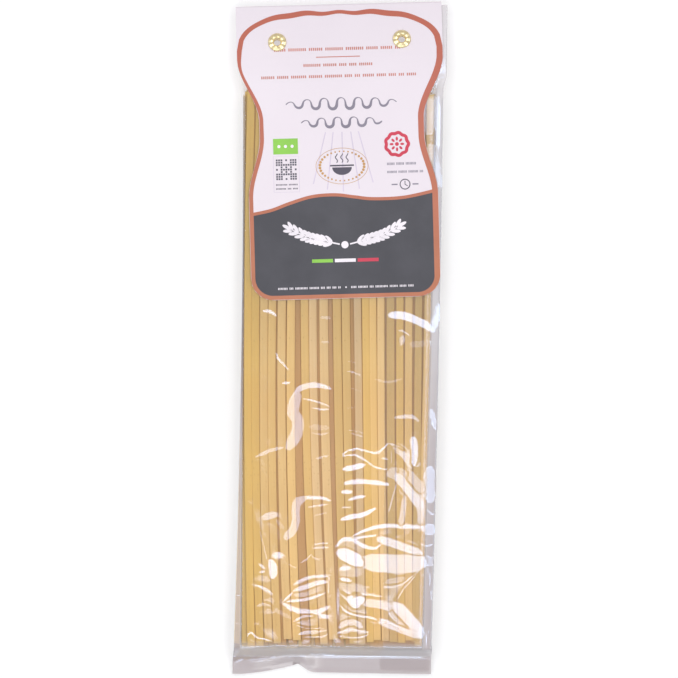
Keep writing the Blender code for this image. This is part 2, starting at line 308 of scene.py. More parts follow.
filmLook = {
    "clear": (0.985, 0.98, 0.98),
    "haze": (0.90, 0.86, 0.875),
    # the seal's milky film, partly its own haze and partly painted shade
    "sealHazeAndShade": (0.65, 0.555, 0.545),
    "hazeShares": (0.02, 0.62),          # over the pasta, and in the seal
    "marginHaze": (0.96, 0.8),           # of the folded side margins: near the seal, where painted shade darkens them, and near the neck
    "gloss": (0.56, 0.71, 1.0),          # seen squarely
    "glance": (0.06, 0.25),              # the share reflected where the gloss starts to whiten and is white
    "glossGain": 1.25,
    "roughness": 0.05,
    "ior": 1.62,
    "innerShine": 0.3,                   # of the two layers tucked under the front sheet
}


def filmMaterial():
    look = filmLook
    material, tree, output = newMaterial("clearBagFilm")
    margin = attribute(tree, "margin", "Fac")
    shine = attribute(tree, "shine", "Fac")
    through = addNode(tree, "ShaderNodeBsdfTransparent", {"Color": (*look["clear"], 1.0)})
    # Painted shade: the haze turns to the seal's darker grey where the margin share passes 0.8
    hazeAndShadeColour = mixColour(tree, ranged(tree, margin, look["marginHaze"][1]), look["haze"], look["sealHazeAndShade"])
    haze = addNode(tree, "ShaderNodeBsdfDiffuse", {"Color": hazeAndShadeColour})
    hazeShare = ranged(tree, margin, 0.0, 1.0, *look["hazeShares"])
    milky = addNode(tree, "ShaderNodeMixShader", {0: hazeShare, 1: through.outputs[0], 2: haze.outputs[0]})
    fresnel = addNode(tree, "ShaderNodeFresnel", {"IOR": look["ior"]}).outputs[0]
    glossColour = mixColour(tree, ranged(tree, fresnel, *look["glance"]), look["gloss"], (1.0, 1.0, 1.0))
    gloss = addNode(tree, "ShaderNodeBsdfGlossy", {"Color": glossColour, "Roughness": look["roughness"]})
    gain = calc(tree, "MULTIPLY", shine, look["glossGain"])
    share = calc(tree, "MULTIPLY", fresnel, gain, clamp=True)
    setSurface(tree, output, {0: share, 1: milky.outputs[0], 2: gloss.outputs[0]}, "ShaderNodeMixShader")
    return material


cardLook = {
    "white": ((0.815, 0.735, 0.79), (0.84, 0.76, 0.815)),
    "roughness": 0.42,
    "gloss": 0.2,
}


def cardMaterial():
    material, tree, output = newMaterial("coatedWhiteCard")
    place = objectPlace(tree)
    darker, lighter = cardLook["white"]
    base = ramp(tree, noise(tree, place, 22.0, 2.0), [(0.3, darker), (0.7, lighter)])
    setSurface(tree, output, {
        "Base Color": base, "Roughness": cardLook["roughness"], "Specular IOR Level": cardLook["gloss"],
        "Normal": bump(tree, noise(tree, place, 900.0, 5.0), 0.12, 0.1),
    })
    return material


brassLook = {
    "brass": ((0.90, 0.74, 0.40), (0.97, 0.85, 0.56)),
    "roughness": (0.4, 0.55),
}


def brassMaterial():
    material, tree, output = newMaterial("crimpedBrass")
    wear = noise(tree, objectPlace(tree), 700.0, 4.0)
    darker, lighter = brassLook["brass"]
    base = ramp(tree, wear, [(0.3, darker), (0.7, lighter)])
    rough = ranged(tree, wear, 0.0, 1.0, *brassLook["roughness"])
    setSurface(tree, output, {"Base Color": base, "Metallic": 1.0, "Roughness": rough})
    return material


# The film: one tube of single film, ring by ring from the flap's cut edge to the inside of the card's fold

film = {
    "columns": 166,                      # across the front face
    "fineStep": 0.55,                    # along the open window
    "coarseStep": 1.6,                   # beside and under the card
    "windowEnd": 21.0,
    "lift": 0.15,                        # of the front sheet over the strands' highest level
    "crown": 0.25,
    "tuckFold": (24.3, 21.5),            # X of the right gusset's inner fold, at the seal and at the neck
    "tuckDepths": (0.20, 0.42),          # how far its two layers lie under the front sheet
    "flatTuck": 24.0,                    # depth of the gusset where the bag is flat
    "tuckPoints": 14,
    "backPoints": 20,
    "shoulderRings": 17,
    "shoulderStarts": (0.32, 0.2),       # how far the film stays level past the pasta's seal and neck ends
    "hazeStart": (-141.5, -147.5),
    "endHaze": 0.85,                     # of the film between the pasta and the seal, against the seal's
    "hazeFlatness": (0.1, 0.6),
    "leftHaze": 0.5,                     # of the left margin's upper part, against its lower part's
    "neckShine": (0.0, 0.4),             # of the shoulder at the neck, at its left and right ends
    "neckShineStart": 2.5,               # how far before the pasta's neck end that starts
    "eyeletClear": 2.0,                  # radius of the hole that each eyelet makes
    "flapRings": 19,
    "neckRings": 14,
    "sideHazeYs": (-70.0, 30.0),         # over what Y the side margins' haze changes
    "leftHazeYs": (-75.0, 0.0),
}

# The side walls under the creases, down to the back: how far out towards the crease, and how high, as shares
sideWall = ((0.30, 0.84), (0.16, 0.66), (0.14, 0.48), (0.17, 0.28), (0.24, 0.13), (0.80, 0.085),
            (0.92, 0.055), (0.80, 0.03), (0.10, 0.004))


# X across the front sheet, close together where it turns down at the pasta's sides
def frontColumns(left, right, leftEdge, rightEdge):
    near = 0.12
    sideCount = 6
    middle = np.linspace(left + near, right - near, film["columns"] - 2 * sideCount - 2)
    leftSide = np.append(np.linspace(leftEdge, left - near, sideCount), left)
    rightSide = np.append(right, np.linspace(right + near, rightEdge, sideCount))
    return np.concatenate([leftSide, middle, rightSide])


def frontHeight(x, left, right, leftEdge, rightEdge):
    out = np.abs(x - (left + right) / 2) / ((right - left) / 2)
    top = bag["height"] + film["lift"] - film["crown"] * np.minimum(out, 1.0) ** 4
    past = np.maximum((x - right) / (rightEdge - right), (x - left) / (leftEdge - left))
    return mix(top, bag["creaseHeight"], np.clip(past, 0.0, 1.0))


# X and Z round the filled bag at a share of its length, with the right gusset tucked over the strands
def fullSection(share):
    left, right = mix(*bag["pastaLeft"], share), mix(*bag["pastaRight"], share)
    leftEdge, rightEdge = crease(bag["leftCrease"], share), crease(bag["rightCrease"], share)
    ends = (left, right, leftEdge, rightEdge)
    front = frontColumns(*ends)
    fold = mix(*film["tuckFold"], share)
    inward = np.append(np.linspace(rightEdge - 0.5, fold + 0.1, film["tuckPoints"] - 1), fold)
    outward = np.append(fold, np.linspace(fold + 0.1, right + 0.7, film["tuckPoints"] - 1))
    upper, lower = film["tuckDepths"]
    wallRight = [(mix(right, rightEdge, out), bag["height"] * high) for out, high in sideWall]
    wallLeft = [(mix(left, leftEdge, out), bag["height"] * high) for out, high in sideWall]
    back = np.linspace(wallRight[-1][0], wallLeft[-1][0], film["backPoints"] + 2)[1:-1]
    rightXs, leftXs = [x for x, _ in wallRight], [x for x, _ in wallLeft[::-1]]
    xs = [front, inward, [fold - 0.04], outward, rightXs, back, leftXs]
    zs = [
        frontHeight(front, *ends),
        frontHeight(inward, *ends) - upper,
        [frontHeight(fold, *ends) - (upper + lower) / 2],
        frontHeight(np.minimum(outward, right), *ends) - lower,
        [z for _, z in wallRight],
        np.full(len(back), 0.06),
        [z for _, z in wallLeft[::-1]],
    ]
    return np.concatenate(xs), np.concatenate(zs)


# X round the flattened bag, and the layer: 1 is the front sheet and -1 the back sheet
def flatSection(leftEdge, rightEdge):
    front = np.linspace(leftEdge, rightEdge, film["columns"])
    fold = rightEdge - film["flatTuck"]
    inward = np.linspace(rightEdge - 0.5, fold, film["tuckPoints"])
    outward = np.linspace(fold, rightEdge - 0.9, film["tuckPoints"])
    wall = len(sideWall)
    wallRight = np.linspace(rightEdge - 0.8, rightEdge - 2.2, wall)
    wallLeft = np.linspace(leftEdge + 2.2, leftEdge + 0.3, wall)
    back = np.linspace(wallRight[-1], wallLeft[0], film["backPoints"] + 2)[1:-1]
    xs = [front, inward, [fold - 0.2], outward, wallRight, back, wallLeft]
    layers = [
        np.ones(len(front)),
        np.full(len(inward), 0.35),
        [0.1],
        np.full(len(outward), -0.15),
        np.linspace(-0.3, -1.0, wall),
        np.full(len(back), -1.0),
        np.linspace(-1.0, 0.0, wall),
    ]
    return np.concatenate(xs), np.concatenate(layers)


def flapTip(x):
    left, right, dent = (math.radians(turn) for turn in seal["tips"])
    plain = mix(left, right, smooth(seal["dent"], seal["dent"] + seal["dentRight"], x))
    leftShare = np.clip(1 - (seal["dent"] - x) / seal["dentLeft"], 0.0, 1.0)
    rightShare = 1 - smooth(0.0, seal["dentRight"], x - seal["dent"])
    return mix(plain, dent, np.where(x < seal["dent"], leftShare, rightShare))


def flapRing(x, layer, along):
    tip = flapTip(x)
    lift = layer * bag["stack"] / 2
    line = seal["height"] - seal["cornerSag"] * smooth(0.3, 1.0, x / seal["left"])
    drop = seal["lineDrop"] * smooth(0.0, 1.0, (x - seal["dropStart"]) / (seal["left"] - seal["dropStart"]))
    y = seal["line"] - drop * (1 - along / seal["length"]) - along * np.cos(tip) - lift * np.sin(tip)
    z = line - along * np.sin(tip) + lift * np.cos(tip)
    return np.stack([x, y, z], axis=1)


def neckRing(x, layer, down):
    middle = cardUnderside(down) - card["gap"] - bag["stack"] / 2
    z = middle + layer * bag["stack"] / 2
    return np.stack([x, yAt(x, down), z], axis=1)


# A ring between a flattened one and the full section: first level with the full one, then down in a flat S
def shoulderRing(flat, full, fullY, share, start):
    fullness = 1 - smooth(start, 1.0, share)
    xs, zs = full
    y = mix(fullY, flat[:, 1], share)
    return np.stack([mix(flat[:, 0], xs, fullness), y, mix(flat[:, 2], zs, fullness)], axis=1)


# The film's wrinkles. Each glint is a stretch of film that tilts just enough to throw the studio's ring light
# back: its width, its brightness from 0 to 1, and its course, read off the photograph in its pixels. Every
# other one tilts the other way, so their order matters.

photo = {
    "middle": (339.4, 339.0),
    "mmPerPixel": 0.4685,
    "turn": math.radians(0.9),
    "offset": (1.5, -0.5),
}

glints = (
    (3.4, 0.9, ((263.5, 311), (270, 311.5), (276, 315.5))),
    (2.0, 0.9, ((276.4, 353), (278.8, 359.5), (283.7, 364.4), (289.3, 370.7))),
    (2.8, 0.9, ((282.3, 383.2), (290, 382.6))),
    (5.8, 0.75, ((294, 394), (299, 389), (306, 386), (314, 385), (322, 386), (330, 388.6))),
    (13.0, 0.55, ((297, 396), (294, 404), (293, 413), (298, 421), (297, 431), (293, 440), (289, 446))),
    (4.5, 0.5, ((285, 447), (276, 449), (267.6, 451.5), (256, 457))),
    (2.2, 0.8, ((302, 398.5), (313, 400.6), (323.7, 404), (330.7, 407.3))),
    (2.2, 0.8, ((312, 408), (322, 409.4), (330, 409))),
    (2.4, 0.4, ((311, 432), (320, 434.5), (328.5, 432.5))),
    (7.0, 0.2, ((311, 427), (328, 428))),
    (3.6, 0.4, ((316, 459), (323, 456.6), (329, 455.6))),
    (4.5, 0.3, ((320, 317.5), (331, 318))),
    (3.0, 0.3, ((320.6, 342), (330, 342))),
    (2.0, 0.35, ((347, 360.3), (357, 363))),
    (2.8, 0.5, ((346.5, 371.5), (353, 372.3), (361, 375.4))),
    (4.0, 0.25, ((375, 379.5), (388, 382), (402, 379))),
    (2.0, 0.3, ((350, 388), (364, 392.5))),
    (2.0, 0.3, ((345, 408.6), (356, 407))),
    (2.0, 0.5, ((344.5, 429.5), (354, 431), (365, 433.5))),
    (2.0, 0.5, ((349, 432), (357, 434.6), (365, 437.5))),
    (8.0, 1.0, ((391, 315), (402, 315.5), (413, 319), (424, 324), (433, 330))),
    (2.2, 0.8, ((397, 330), (404, 331.6), (410.5, 336.4))),
    (6.0, 0.5, ((403, 336), (401, 344))),
    (8.0, 0.2, ((411, 345), (429, 343))),
    (4.8, 0.6, ((394, 417.6), (404, 416.8), (412, 417), (419, 421))),
    (2.2, 0.9, ((342.7, 456), (345.8, 451.8), (355.6, 449), (364, 450.4), (374.6, 452.9), (381, 450.4),
                (388, 443.4))),
    (3.0, 0.7, ((388, 443.6), (397.7, 446), (406, 451))),
    (2.2, 0.9, ((342.7, 456.4), (350, 455), (357, 455.6), (365.5, 460.3), (372.5, 465.9), (381, 468.7),
                (389, 469.5))),
    (3.0, 0.6, ((381, 458), (388, 459))),
    (2.2, 0.6, ((391, 449), (391.6, 465))),
    (7.5, 0.95, ((413.4, 439), (414.4, 450), (414, 465))),
    (9.0, 0.7, ((402, 452), (409, 460), (411, 466))),
    (5.6, 1.0, ((343.5, 469.3), (354, 467.2), (364.5, 465))),
    (5.0, 0.95, ((345, 483.2), (358, 481.6), (374, 482.4), (388, 484.4))),
    (11.0, 0.8, ((397, 476), (405, 486), (414, 497), (421, 506))),
    (7.0, 0.55, ((404, 500), (403, 512), (401, 524))),
    (5.0, 0.6, ((419, 508), (420, 524))),
    (2.2, 0.7, ((398.5, 466), (396.4, 482.7), (392, 500), (388.5, 513))),
    (4.2, 1.0, ((342, 491.8), (352, 491.8))),
    (3.0, 1.0, ((349, 499.6), (357, 497.4), (364.6, 496))),
    (2.2, 0.8, ((341.5, 507.5), (351, 507))),
    (4.8, 1.0, ((341.6, 519.4), (352, 516.6), (363, 514.6), (375, 508.8))),
    (3.4, 1.0, ((423, 527), (410, 526.6), (395.6, 525.8), (381.5, 526), (366, 530), (353, 535.6))),
    (3.0, 0.9, ((353.5, 538.4), (366, 536.6), (377, 535.6))),
    (9.0, 0.82, ((379, 539), (392, 543), (406, 548), (420, 553))),
    (3.4, 1.0, ((336.6, 546), (341, 541), (347, 539), (356, 541.4), (364.7, 546), (374.5, 548.4),
                (381, 544))),
    (14.0, 1.0, ((341, 553), (350, 557), (360, 562))),
    (19.0, 0.75, ((366, 562), (385, 563.5), (405, 564), (421, 562))),
    (9.5, 0.55, ((303, 499), (297, 503), (295.5, 512), (295.5, 522), (292, 531), (286, 537))),
    (3.2, 0.95, ((303, 498), (312, 497.4), (321, 497.8), (330, 500.6))),
    (2.4, 0.7, ((308, 507), (318, 505.6), (328, 504))),
    (8.0, 0.6, ((264, 517), (275, 514.5))),
    (6.0, 0.25, ((276, 520), (284, 529))),
    (2.0, 0.4, ((313, 516.6), (321, 514), (328.6, 513))),
    (2.0, 0.8, ((312, 545), (320, 543.6), (329, 543))),
    (2.0, 0.7, ((313, 548), (328.6, 547.5))),
    (2.6, 0.6, ((300, 563), (307, 559), (311, 554.6), (315, 558.4), (329, 558.8))),
    (2.0, 0.5, ((289, 564.6), (297, 568))),
    (1.8, 0.8, ((259.4, 529), (262, 540), (265, 551), (266.4, 559))),
    (6.5, 0.9, ((274, 555), (282, 555.6))),
    (9.0, 0.9, ((271, 562), (273, 568), (272.6, 576))),
    (3.2, 0.8, ((259.5, 564), (264, 568))),
    (3.4, 0.8, ((259.5, 572.6), (264.6, 571))),
    (3.0, 0.85, ((293.8, 584), (305.7, 578.6), (316, 576.5), (329, 575.8))),
    (5.5, 0.85, ((293, 591), (305, 587), (318, 582.6), (328, 582))),
    (2.4, 0.9, ((283.2, 601.8), (293, 592))),
    (3.6, 0.9, ((286, 601.4), (296, 600.6), (305.7, 599.6), (315, 596.6), (326, 592.6))),
    (4.6, 0.9, ((283.2, 602.6), (290, 608), (303, 611.6), (317, 612), (328, 607))),
    (3.6, 0.7, ((294, 621.5), (303, 616.6), (314, 616))),
    (4.4, 0.9, ((319, 616), (328, 617))),
    (2.0, 0.8, ((293, 624.5), (310, 628.6), (328, 627.6))),
    (2.0, 0.8, ((299, 634), (312, 631.4), (328, 630))),
    (2.0, 0.8, ((299, 637), (320, 637), (328, 634))),
    (2.4, 0.8, ((328.6, 577), (328.6, 594))),
    (2.0, 0.8, ((337.6, 589), (338.2, 600), (338, 615))),
    (3.4, 1.0, ((340, 568.6), (350, 567.6))),
    (4.4, 1.0, ((340, 578.6), (351, 581))),
    (2.2, 0.9, ((342.3, 589.6), (352, 594.4), (365, 594.6), (381.5, 597))),
    (13.0, 1.0, ((351, 599.6), (361, 600))),
    (9.0, 0.7, ((363, 602), (378, 604), (392, 608))),
    (2.2, 0.9, ((338, 592.6), (344, 597), (349, 603), (353, 607.4), (361, 608))),
    (13.0, 0.9, ((396, 606), (404, 614), (413, 624), (420, 633))),
    (3.4, 0.9, ((341, 605.4), (346.5, 612), (359, 616), (370, 617.6), (380, 621))),
    (8.0, 0.85, ((380, 621), (392, 626), (405, 631), (420, 636.6))),
    (7.0, 0.7, ((340, 627), (346, 623), (355, 622.4), (361, 627))),
    (2.2, 0.9, ((337, 633), (352, 630), (369, 632))),
    (2.2, 0.9, ((338, 636), (352, 637.4), (362, 637), (369, 634))),
    (2.2, 0.9, ((255, 585.3), (262, 587.4), (272, 593.6))),
    (4.0, 0.45, ((256.7, 606.4), (264, 604), (270.7, 606.4))),
    (5.0, 0.25, ((277, 611), (291, 617.6))),
    (2.8, 0.9, ((247, 636.4), (251, 632.6), (257, 637.6), (264, 639), (272, 641.4))),
    (2.4, 0.8, ((383.6, 586.7), (398.4, 585), (418, 573))),
    (7.0, 0.4, ((387, 582), (404, 579))),
    (1.8, 0.8, ((418, 573), (405.4, 586.7), (395.6, 602))),
    (15.0, 0.4, ((434, 92), (431, 104), (429, 118), (429, 131))),
    (12.0, 0.4, ((431, 146), (432, 158), (436, 172), (440, 184))),
    (5.0, 0.55, ((438, 96), (438, 120), (438, 150))),
    (2.0, 0.8, ((424, 128), (431, 127), (438, 131))),
    (9.0, 0.7, ((433, 326), (438, 316), (440, 305))),
    (2.2, 0.9, ((300, 656.5), (330, 656.8), (365, 657.2), (400, 657.6), (430, 658))),
    (1.8, 0.7, ((310, 654.6), (334, 655))),
    (1.8, 0.6, ((246, 661), (262, 659.6), (280, 658))),
    (1.8, 0.6, ((248, 663), (262, 661.6), (274, 660.6))),
    (2.2, 0.6, ((234, 663.5), (239, 661.5), (244, 659))),
    (6.0, 0.45, ((431, 410), (436, 430))),
    (2.0, 0.8, ((426, 508), (432, 514), (438, 512))),
    (2.2, 0.8, ((418, 542), (426, 546), (433, 544))),
    (1.8, 0.8, ((427, 566), (430, 580), (431, 600))),
    (1.8, 0.7, ((430, 628), (426, 640), (428, 652))),
    (1.6, 0.5, ((235.5, 595), (241, 595.4))),
    (1.6, 0.6, ((235, 623), (241, 623.4))),
    (1.6, 0.5, ((234.5, 645), (241, 644.6))),
    (11.0, 0.7, ((391, 610), (399, 619), (410, 629))),
    (12.0, 0.5, ((397, 447), (407, 455), (417, 464))),
    (13.0, 0.45, ((390, 474), (396, 473), (404, 474))),
    (15.0, 0.5, ((403, 473), (412, 480), (420, 489))),
    (13.0, 0.5, ((430, 470), (430, 485), (430, 499))),
    (11.0, 0.5, ((424, 529), (436, 530))),
    (13.0, 0.4, ((428, 560), (430, 562))),
    (17.0, 0.5, ((405, 474), (406, 484), (408, 494))),
    (8.0, 0.55, ((417, 476), (420, 494), (421, 518))),
)

wrinkles = {
    "cell": 0.5,
    "left": -48.0,
    "right": 49.0,
    "bottom": -154.0,
    "top": 116.0,
    "underCard": (20.0, 44.0),           # where and over what X the film lies flat under the card
    "stiff": 0.05,                       # how much the film elsewhere resists being tilted
    "reach": 10.0,                       # how far a tilt lifts or lowers the film round it
    "passes": 160,
    "lift": 0.5,                         # of the slack film in the open window
    "liftRamp": (18.0, -8.0),
    "lowest": -0.55,
    "coarsest": 24,                      # points across the smallest grid that the heights are solved on
    "relaxation": 1.7,
    "hold": 40.0,                        # how firmly the film is kept down where it can't rise
    "glintEnds": (0.45, 0.7),            # how wide a glint is at its ends, as a share: narrow and broad ones
    "broad": 6.5,                        # from this width a glint is a broad one
    "taper": 2.5,
    "glintEdge": (-0.15, 0.2),           # from where to where, past its half width, a glint fades
    "sealedBelow": -143.0,
    "openAbove": -112.0,
    "inward": 24.0,                      # how far from the bundle's sides the slack film is fully lifted
    "crinkle": 0.012,
    "crinkleSize": 2.6,
    "crinkles": ((1.0, 1.0), (2.4, 2.0), (6.0, 4.0)),  # their sizes and heights against those two
    "seed": 5,
    "tallest": 2.3,
    "tallestUnderCard": 0.25,
    "middleFold": (336.0, 565.0, 640.0),  # the raised fold down the middle: X, top and foot in the photograph
    "foldHeight": 0.3,
    "foldHalfWidth": 1.1,
    "calmSlope": 0.046,                  # steepest shading of the film between the glints
    "calmStart": -144.0,
    "flapTilt": 0.012,                   # steepest shading of the seal flap, as a slope
    "endTilt": 0.6,                      # and of the film between the flap and the pasta
}


def fromPhoto(x, y):
    c, s = math.cos(photo["turn"]), math.sin(photo["turn"])
    right, down = x - photo["middle"][0], y - photo["middle"][1]
    shiftX, shiftY = photo["offset"]
    x, y = (right * c + down * s) * photo["mmPerPixel"], (right * s - down * c) * photo["mmPerPixel"]
    return x + shiftX, y + shiftY


# The slope that shows the ring light's middle at full brightness and its inner edge more faintly
def glintSlope(brightness):
    halfWidth = (studio["ringOuter"] - studio["ringInner"]) / 2
    middle = (studio["ringOuter"] + studio["ringInner"]) / 2
    return math.tan(math.radians(middle - halfWidth * math.sqrt(1 - brightness)) / 2)


# A smooth curve through the points
def smoothCourse(points, steps=8):
    course = []
    for k in range(len(points) - 1):
        before, a = points[max(k - 1, 0)], points[k]
        b, after = points[k + 1], points[min(k + 2, len(points) - 1)]
        for j in range(steps):
            t = j / steps
            course.append(tuple(
                0.5 * (2 * q + (r - p) * t + (2 * p - 5 * q + 4 * r - o) * t * t
                       + (3 * q - p - 3 * r + o) * t**3)
                for p, q, r, o in zip(before, a, b, after)
            ))
    course.append(points[-1])
    return course


# Slopes wanted in X and Y, and how firmly, painted on a grid along every glint
def paintGlints(xs, ys):
    gridX, gridY = np.meshgrid(xs, ys)
    slopeX, slopeY = np.zeros_like(gridX), np.zeros_like(gridX)
    firm = np.zeros_like(gridX)
    for number, (width, brightness, points) in enumerate(glints):
        course = np.array(smoothCourse([fromPhoto(*point) for point in points]))
        half = width * photo["mmPerPixel"] / 2
        slope = glintSlope(brightness) * (1 if number % 2 else -1)
        near = (gridX > course[:, 0].min() - half - 1) & (gridX < course[:, 0].max() + half + 1)
        near &= (gridY > course[:, 1].min() - half - 1) & (gridY < course[:, 1].max() + half + 1)
        x, y = gridX[near], gridY[near]
        best = np.full(len(x), 1e9)
        wantX, wantY, along = np.zeros(len(x)), np.zeros(len(x)), np.zeros(len(x))
        count = len(course) - 1
        for k, (a, b) in enumerate(zip(course, course[1:])):
            step = b - a
            length = max(float(np.hypot(*step)), 1e-6)
            share = np.clip(((x - a[0]) * step[0] + (y - a[1]) * step[1]) / length**2, 0.0, 1.0)
            distance = np.hypot(x - a[0] - share * step[0], y - a[1] - share * step[1])
            closer = distance < best
            best = np.where(closer, distance, best)
            wantX = np.where(closer, -step[1] / length, wantX)
            wantY = np.where(closer, step[0] / length, wantY)
            along = np.where(closer, (k + share) / count, along)
        ends = wrinkles["glintEnds"][width > wrinkles["broad"]]
        taper = np.minimum(1.0, ends + wrinkles["taper"] * np.minimum(along, 1 - along))
        fadeStart, fadeEnd = wrinkles["glintEdge"]
        mask = 1 - smooth(half * taper + fadeStart, half * taper + fadeEnd, best)
        stronger = mask > firm[near]
        slopeX[near] = np.where(stronger, wantX * slope + x / studio["cameraHeight"], slopeX[near])
        slopeY[near] = np.where(stronger, wantY * slope + y / studio["cameraHeight"], slopeY[near])
        firm[near] = np.maximum(firm[near], mask)
    return slopeX * firm, slopeY * firm, firm


# The height whose slopes come nearest to the wanted ones, from a coarse grid to a fine one
def solveHeights(slopeX, slopeY, firm, held, cell):
    if min(firm.shape) > wrinkles["coarsest"]:
        fields = (slopeX, slopeY, firm, held)
        half = [field[: field.shape[0] // 2 * 2, : field.shape[1] // 2 * 2] for field in fields]
        coarse = [(f[::2, ::2] + f[1::2, ::2] + f[::2, 1::2] + f[1::2, 1::2]) / 4 for f in half]
        height = solveHeights(*coarse, cell * 2).repeat(2, axis=0).repeat(2, axis=1)
        pads = [(0, wanted - got) for wanted, got in zip(firm.shape, height.shape)]
        height = np.pad(height, pads, mode="edge")
    else:
        height = np.zeros_like(firm)
    weight = wrinkles["stiff"] + firm
    pull = wrinkles["stiff"] * (cell / wrinkles["reach"]) ** 2 + wrinkles["hold"] * held
    alongX = np.minimum(weight[:, 1:], weight[:, :-1])
    alongY = np.minimum(weight[1:, :], weight[:-1, :])
    riseX = (slopeX[:, 1:] + slopeX[:, :-1]) / 2 * cell
    riseY = (slopeY[1:, :] + slopeY[:-1, :]) / 2 * cell
    total = np.zeros_like(height) + pull
    total[:, 1:] += alongX
    total[:, :-1] += alongX
    total[1:, :] += alongY
    total[:-1, :] += alongY
    checker = np.add.outer(np.arange(height.shape[0]), np.arange(height.shape[1])) % 2
    for _ in range(wrinkles["passes"]):
        for colour in (0, 1):
            wanted = np.zeros_like(height)
            wanted[:, 1:] += alongX * (height[:, :-1] + riseX)
            wanted[:, :-1] += alongX * (height[:, 1:] - riseX)
            wanted[1:, :] += alongY * (height[:-1, :] + riseY)
            wanted[:-1, :] += alongY * (height[1:, :] - riseY)
            change = wanted / total - height
            height = height + np.where(checker == colour, wrinkles["relaxation"] * change, 0.0)
    return height


# Smooth random heights with a knot every so many cells
def valueNoise(draw, rows, columns, cells):
    knots = draw.standard_normal((int(rows / cells) + 3, int(columns / cells) + 3))
    y, x = np.arange(rows) / cells, np.arange(columns) / cells
    y0, x0 = y.astype(int), x.astype(int)
    fy, fx = smooth(0, 1, y - y0)[:, None], smooth(0, 1, x - x0)[None, :]
    top = mix(knots[np.ix_(y0, x0)], knots[np.ix_(y0, x0 + 1)], fx)
    low = mix(knots[np.ix_(y0 + 1, x0)], knots[np.ix_(y0 + 1, x0 + 1)], fx)
    return mix(top, low, fy)


# The pasta's left and right side at each Y
def pastaSides(y):
    share = (y - bag["pastaEnds"][0]) / (bag["pastaEnds"][1] - bag["pastaEnds"][0])
    return mix(*bag["pastaLeft"], share), mix(*bag["pastaRight"], share)


# A grid of the film's heights over its own level, and of the slopes that its shading follows
def wrinkleField():
    cell = wrinkles["cell"]
    xs = np.arange(wrinkles["left"], wrinkles["right"], cell)
    ys = np.arange(wrinkles["bottom"], wrinkles["top"], cell)
    gridX, gridY = np.meshgrid(xs, ys)
    painted = paintGlints(xs, ys)
    left, right = pastaSides(gridY)
    start, reach = wrinkles["underCard"]
    sealedBelow, openAbove = wrinkles["sealedBelow"], wrinkles["openAbove"]
    covered = (gridY > start - 2) & (gridX < reach - 14)
    held = (gridX < left) | (gridX > right) | (gridY < sealedBelow) | covered | (gridY > wrinkles["top"] - 12)
    height = solveHeights(*painted, held.astype(float), cell)
    draw = np.random.default_rng(wrinkles["seed"])
    for size, amount in wrinkles["crinkles"]:
        crinkle = valueNoise(draw, len(ys), len(xs), wrinkles["crinkleSize"] * size / cell)
        height = height + crinkle * wrinkles["crinkle"] * amount
    inward = np.minimum(gridX - left, right - gridX)
    lift = smooth(*wrinkles["liftRamp"], gridY) * smooth(0.0, wrinkles["inward"], inward)
    height = height + wrinkles["lift"] * (lift * smooth(sealedBelow, openAbove, gridY))
    foldX, foldTop, foldLow = wrinkles["middleFold"]
    x0, y0 = fromPhoto(foldX, foldTop)
    x1, y1 = fromPhoto(foldX, foldLow)
    off = gridX - mix(x0, x1, (gridY - y0) / (y1 - y0))
    rise = wrinkles["foldHeight"] * smooth(y0 + 6, y0 - 4, gridY) * smooth(y1 - 2, y1 + 3, gridY)
    height = height + rise * np.exp(-((off / wrinkles["foldHalfWidth"]) ** 2))
    height = np.maximum(height, wrinkles["lowest"])
    height = wrinkles["tallest"] * np.tanh(height / wrinkles["tallest"])
    height = height * np.where(covered, smooth(start + 0.5, start - 3.0, gridY), 1.0)
    height = np.where(gridY > start, np.minimum(height, wrinkles["tallestUnderCard"]), height)
    slopeY, slopeX = np.gradient(height, cell)
    steep = np.maximum(np.hypot(slopeX, slopeY) / wrinkles["calmSlope"], 1.0)
    return xs, ys, {
        "height": height,
        "glintX": painted[0],
        "glintY": painted[1],
        "firm": painted[2],
        "calmX": slopeX / steep,
        "calmY": slopeY / steep,
    }


def sampleField(field, key, x, y):
    xs, ys, grids = field
    grid = grids[key]
    cell = wrinkles["cell"]
    u = np.clip((x - xs[0]) / cell, 0, len(xs) - 1.001)
    v = np.clip((y - ys[0]) / cell, 0, len(ys) - 1.001)
    i, j = u.astype(int), v.astype(int)
    a = mix(grid[j, i], grid[j, i + 1], u - i)
    b = mix(grid[j + 1, i], grid[j + 1, i + 1], u - i)
    return mix(a, b, v - j)


# Lifts the front sheet's points by the wrinkles, less towards the creases and the seal and not under the card
def wrinkleFront(rings, field):
    front = slice(0, film["columns"])
    for ring in rings:
        x, y = ring[front, 0], ring[front, 1]
        if y.max() > wrinkles["top"] - 10 or y.min() < seal["line"] - 1:
            continue
        edge = np.minimum(x - x[0], x[-1] - x)
        share = smooth(0.0, 3.0, edge) * smooth(seal["line"], seal["line"] + 5.0, y)
        ring[front, 2] += sampleField(field, "height", x, y) * share
    return rings


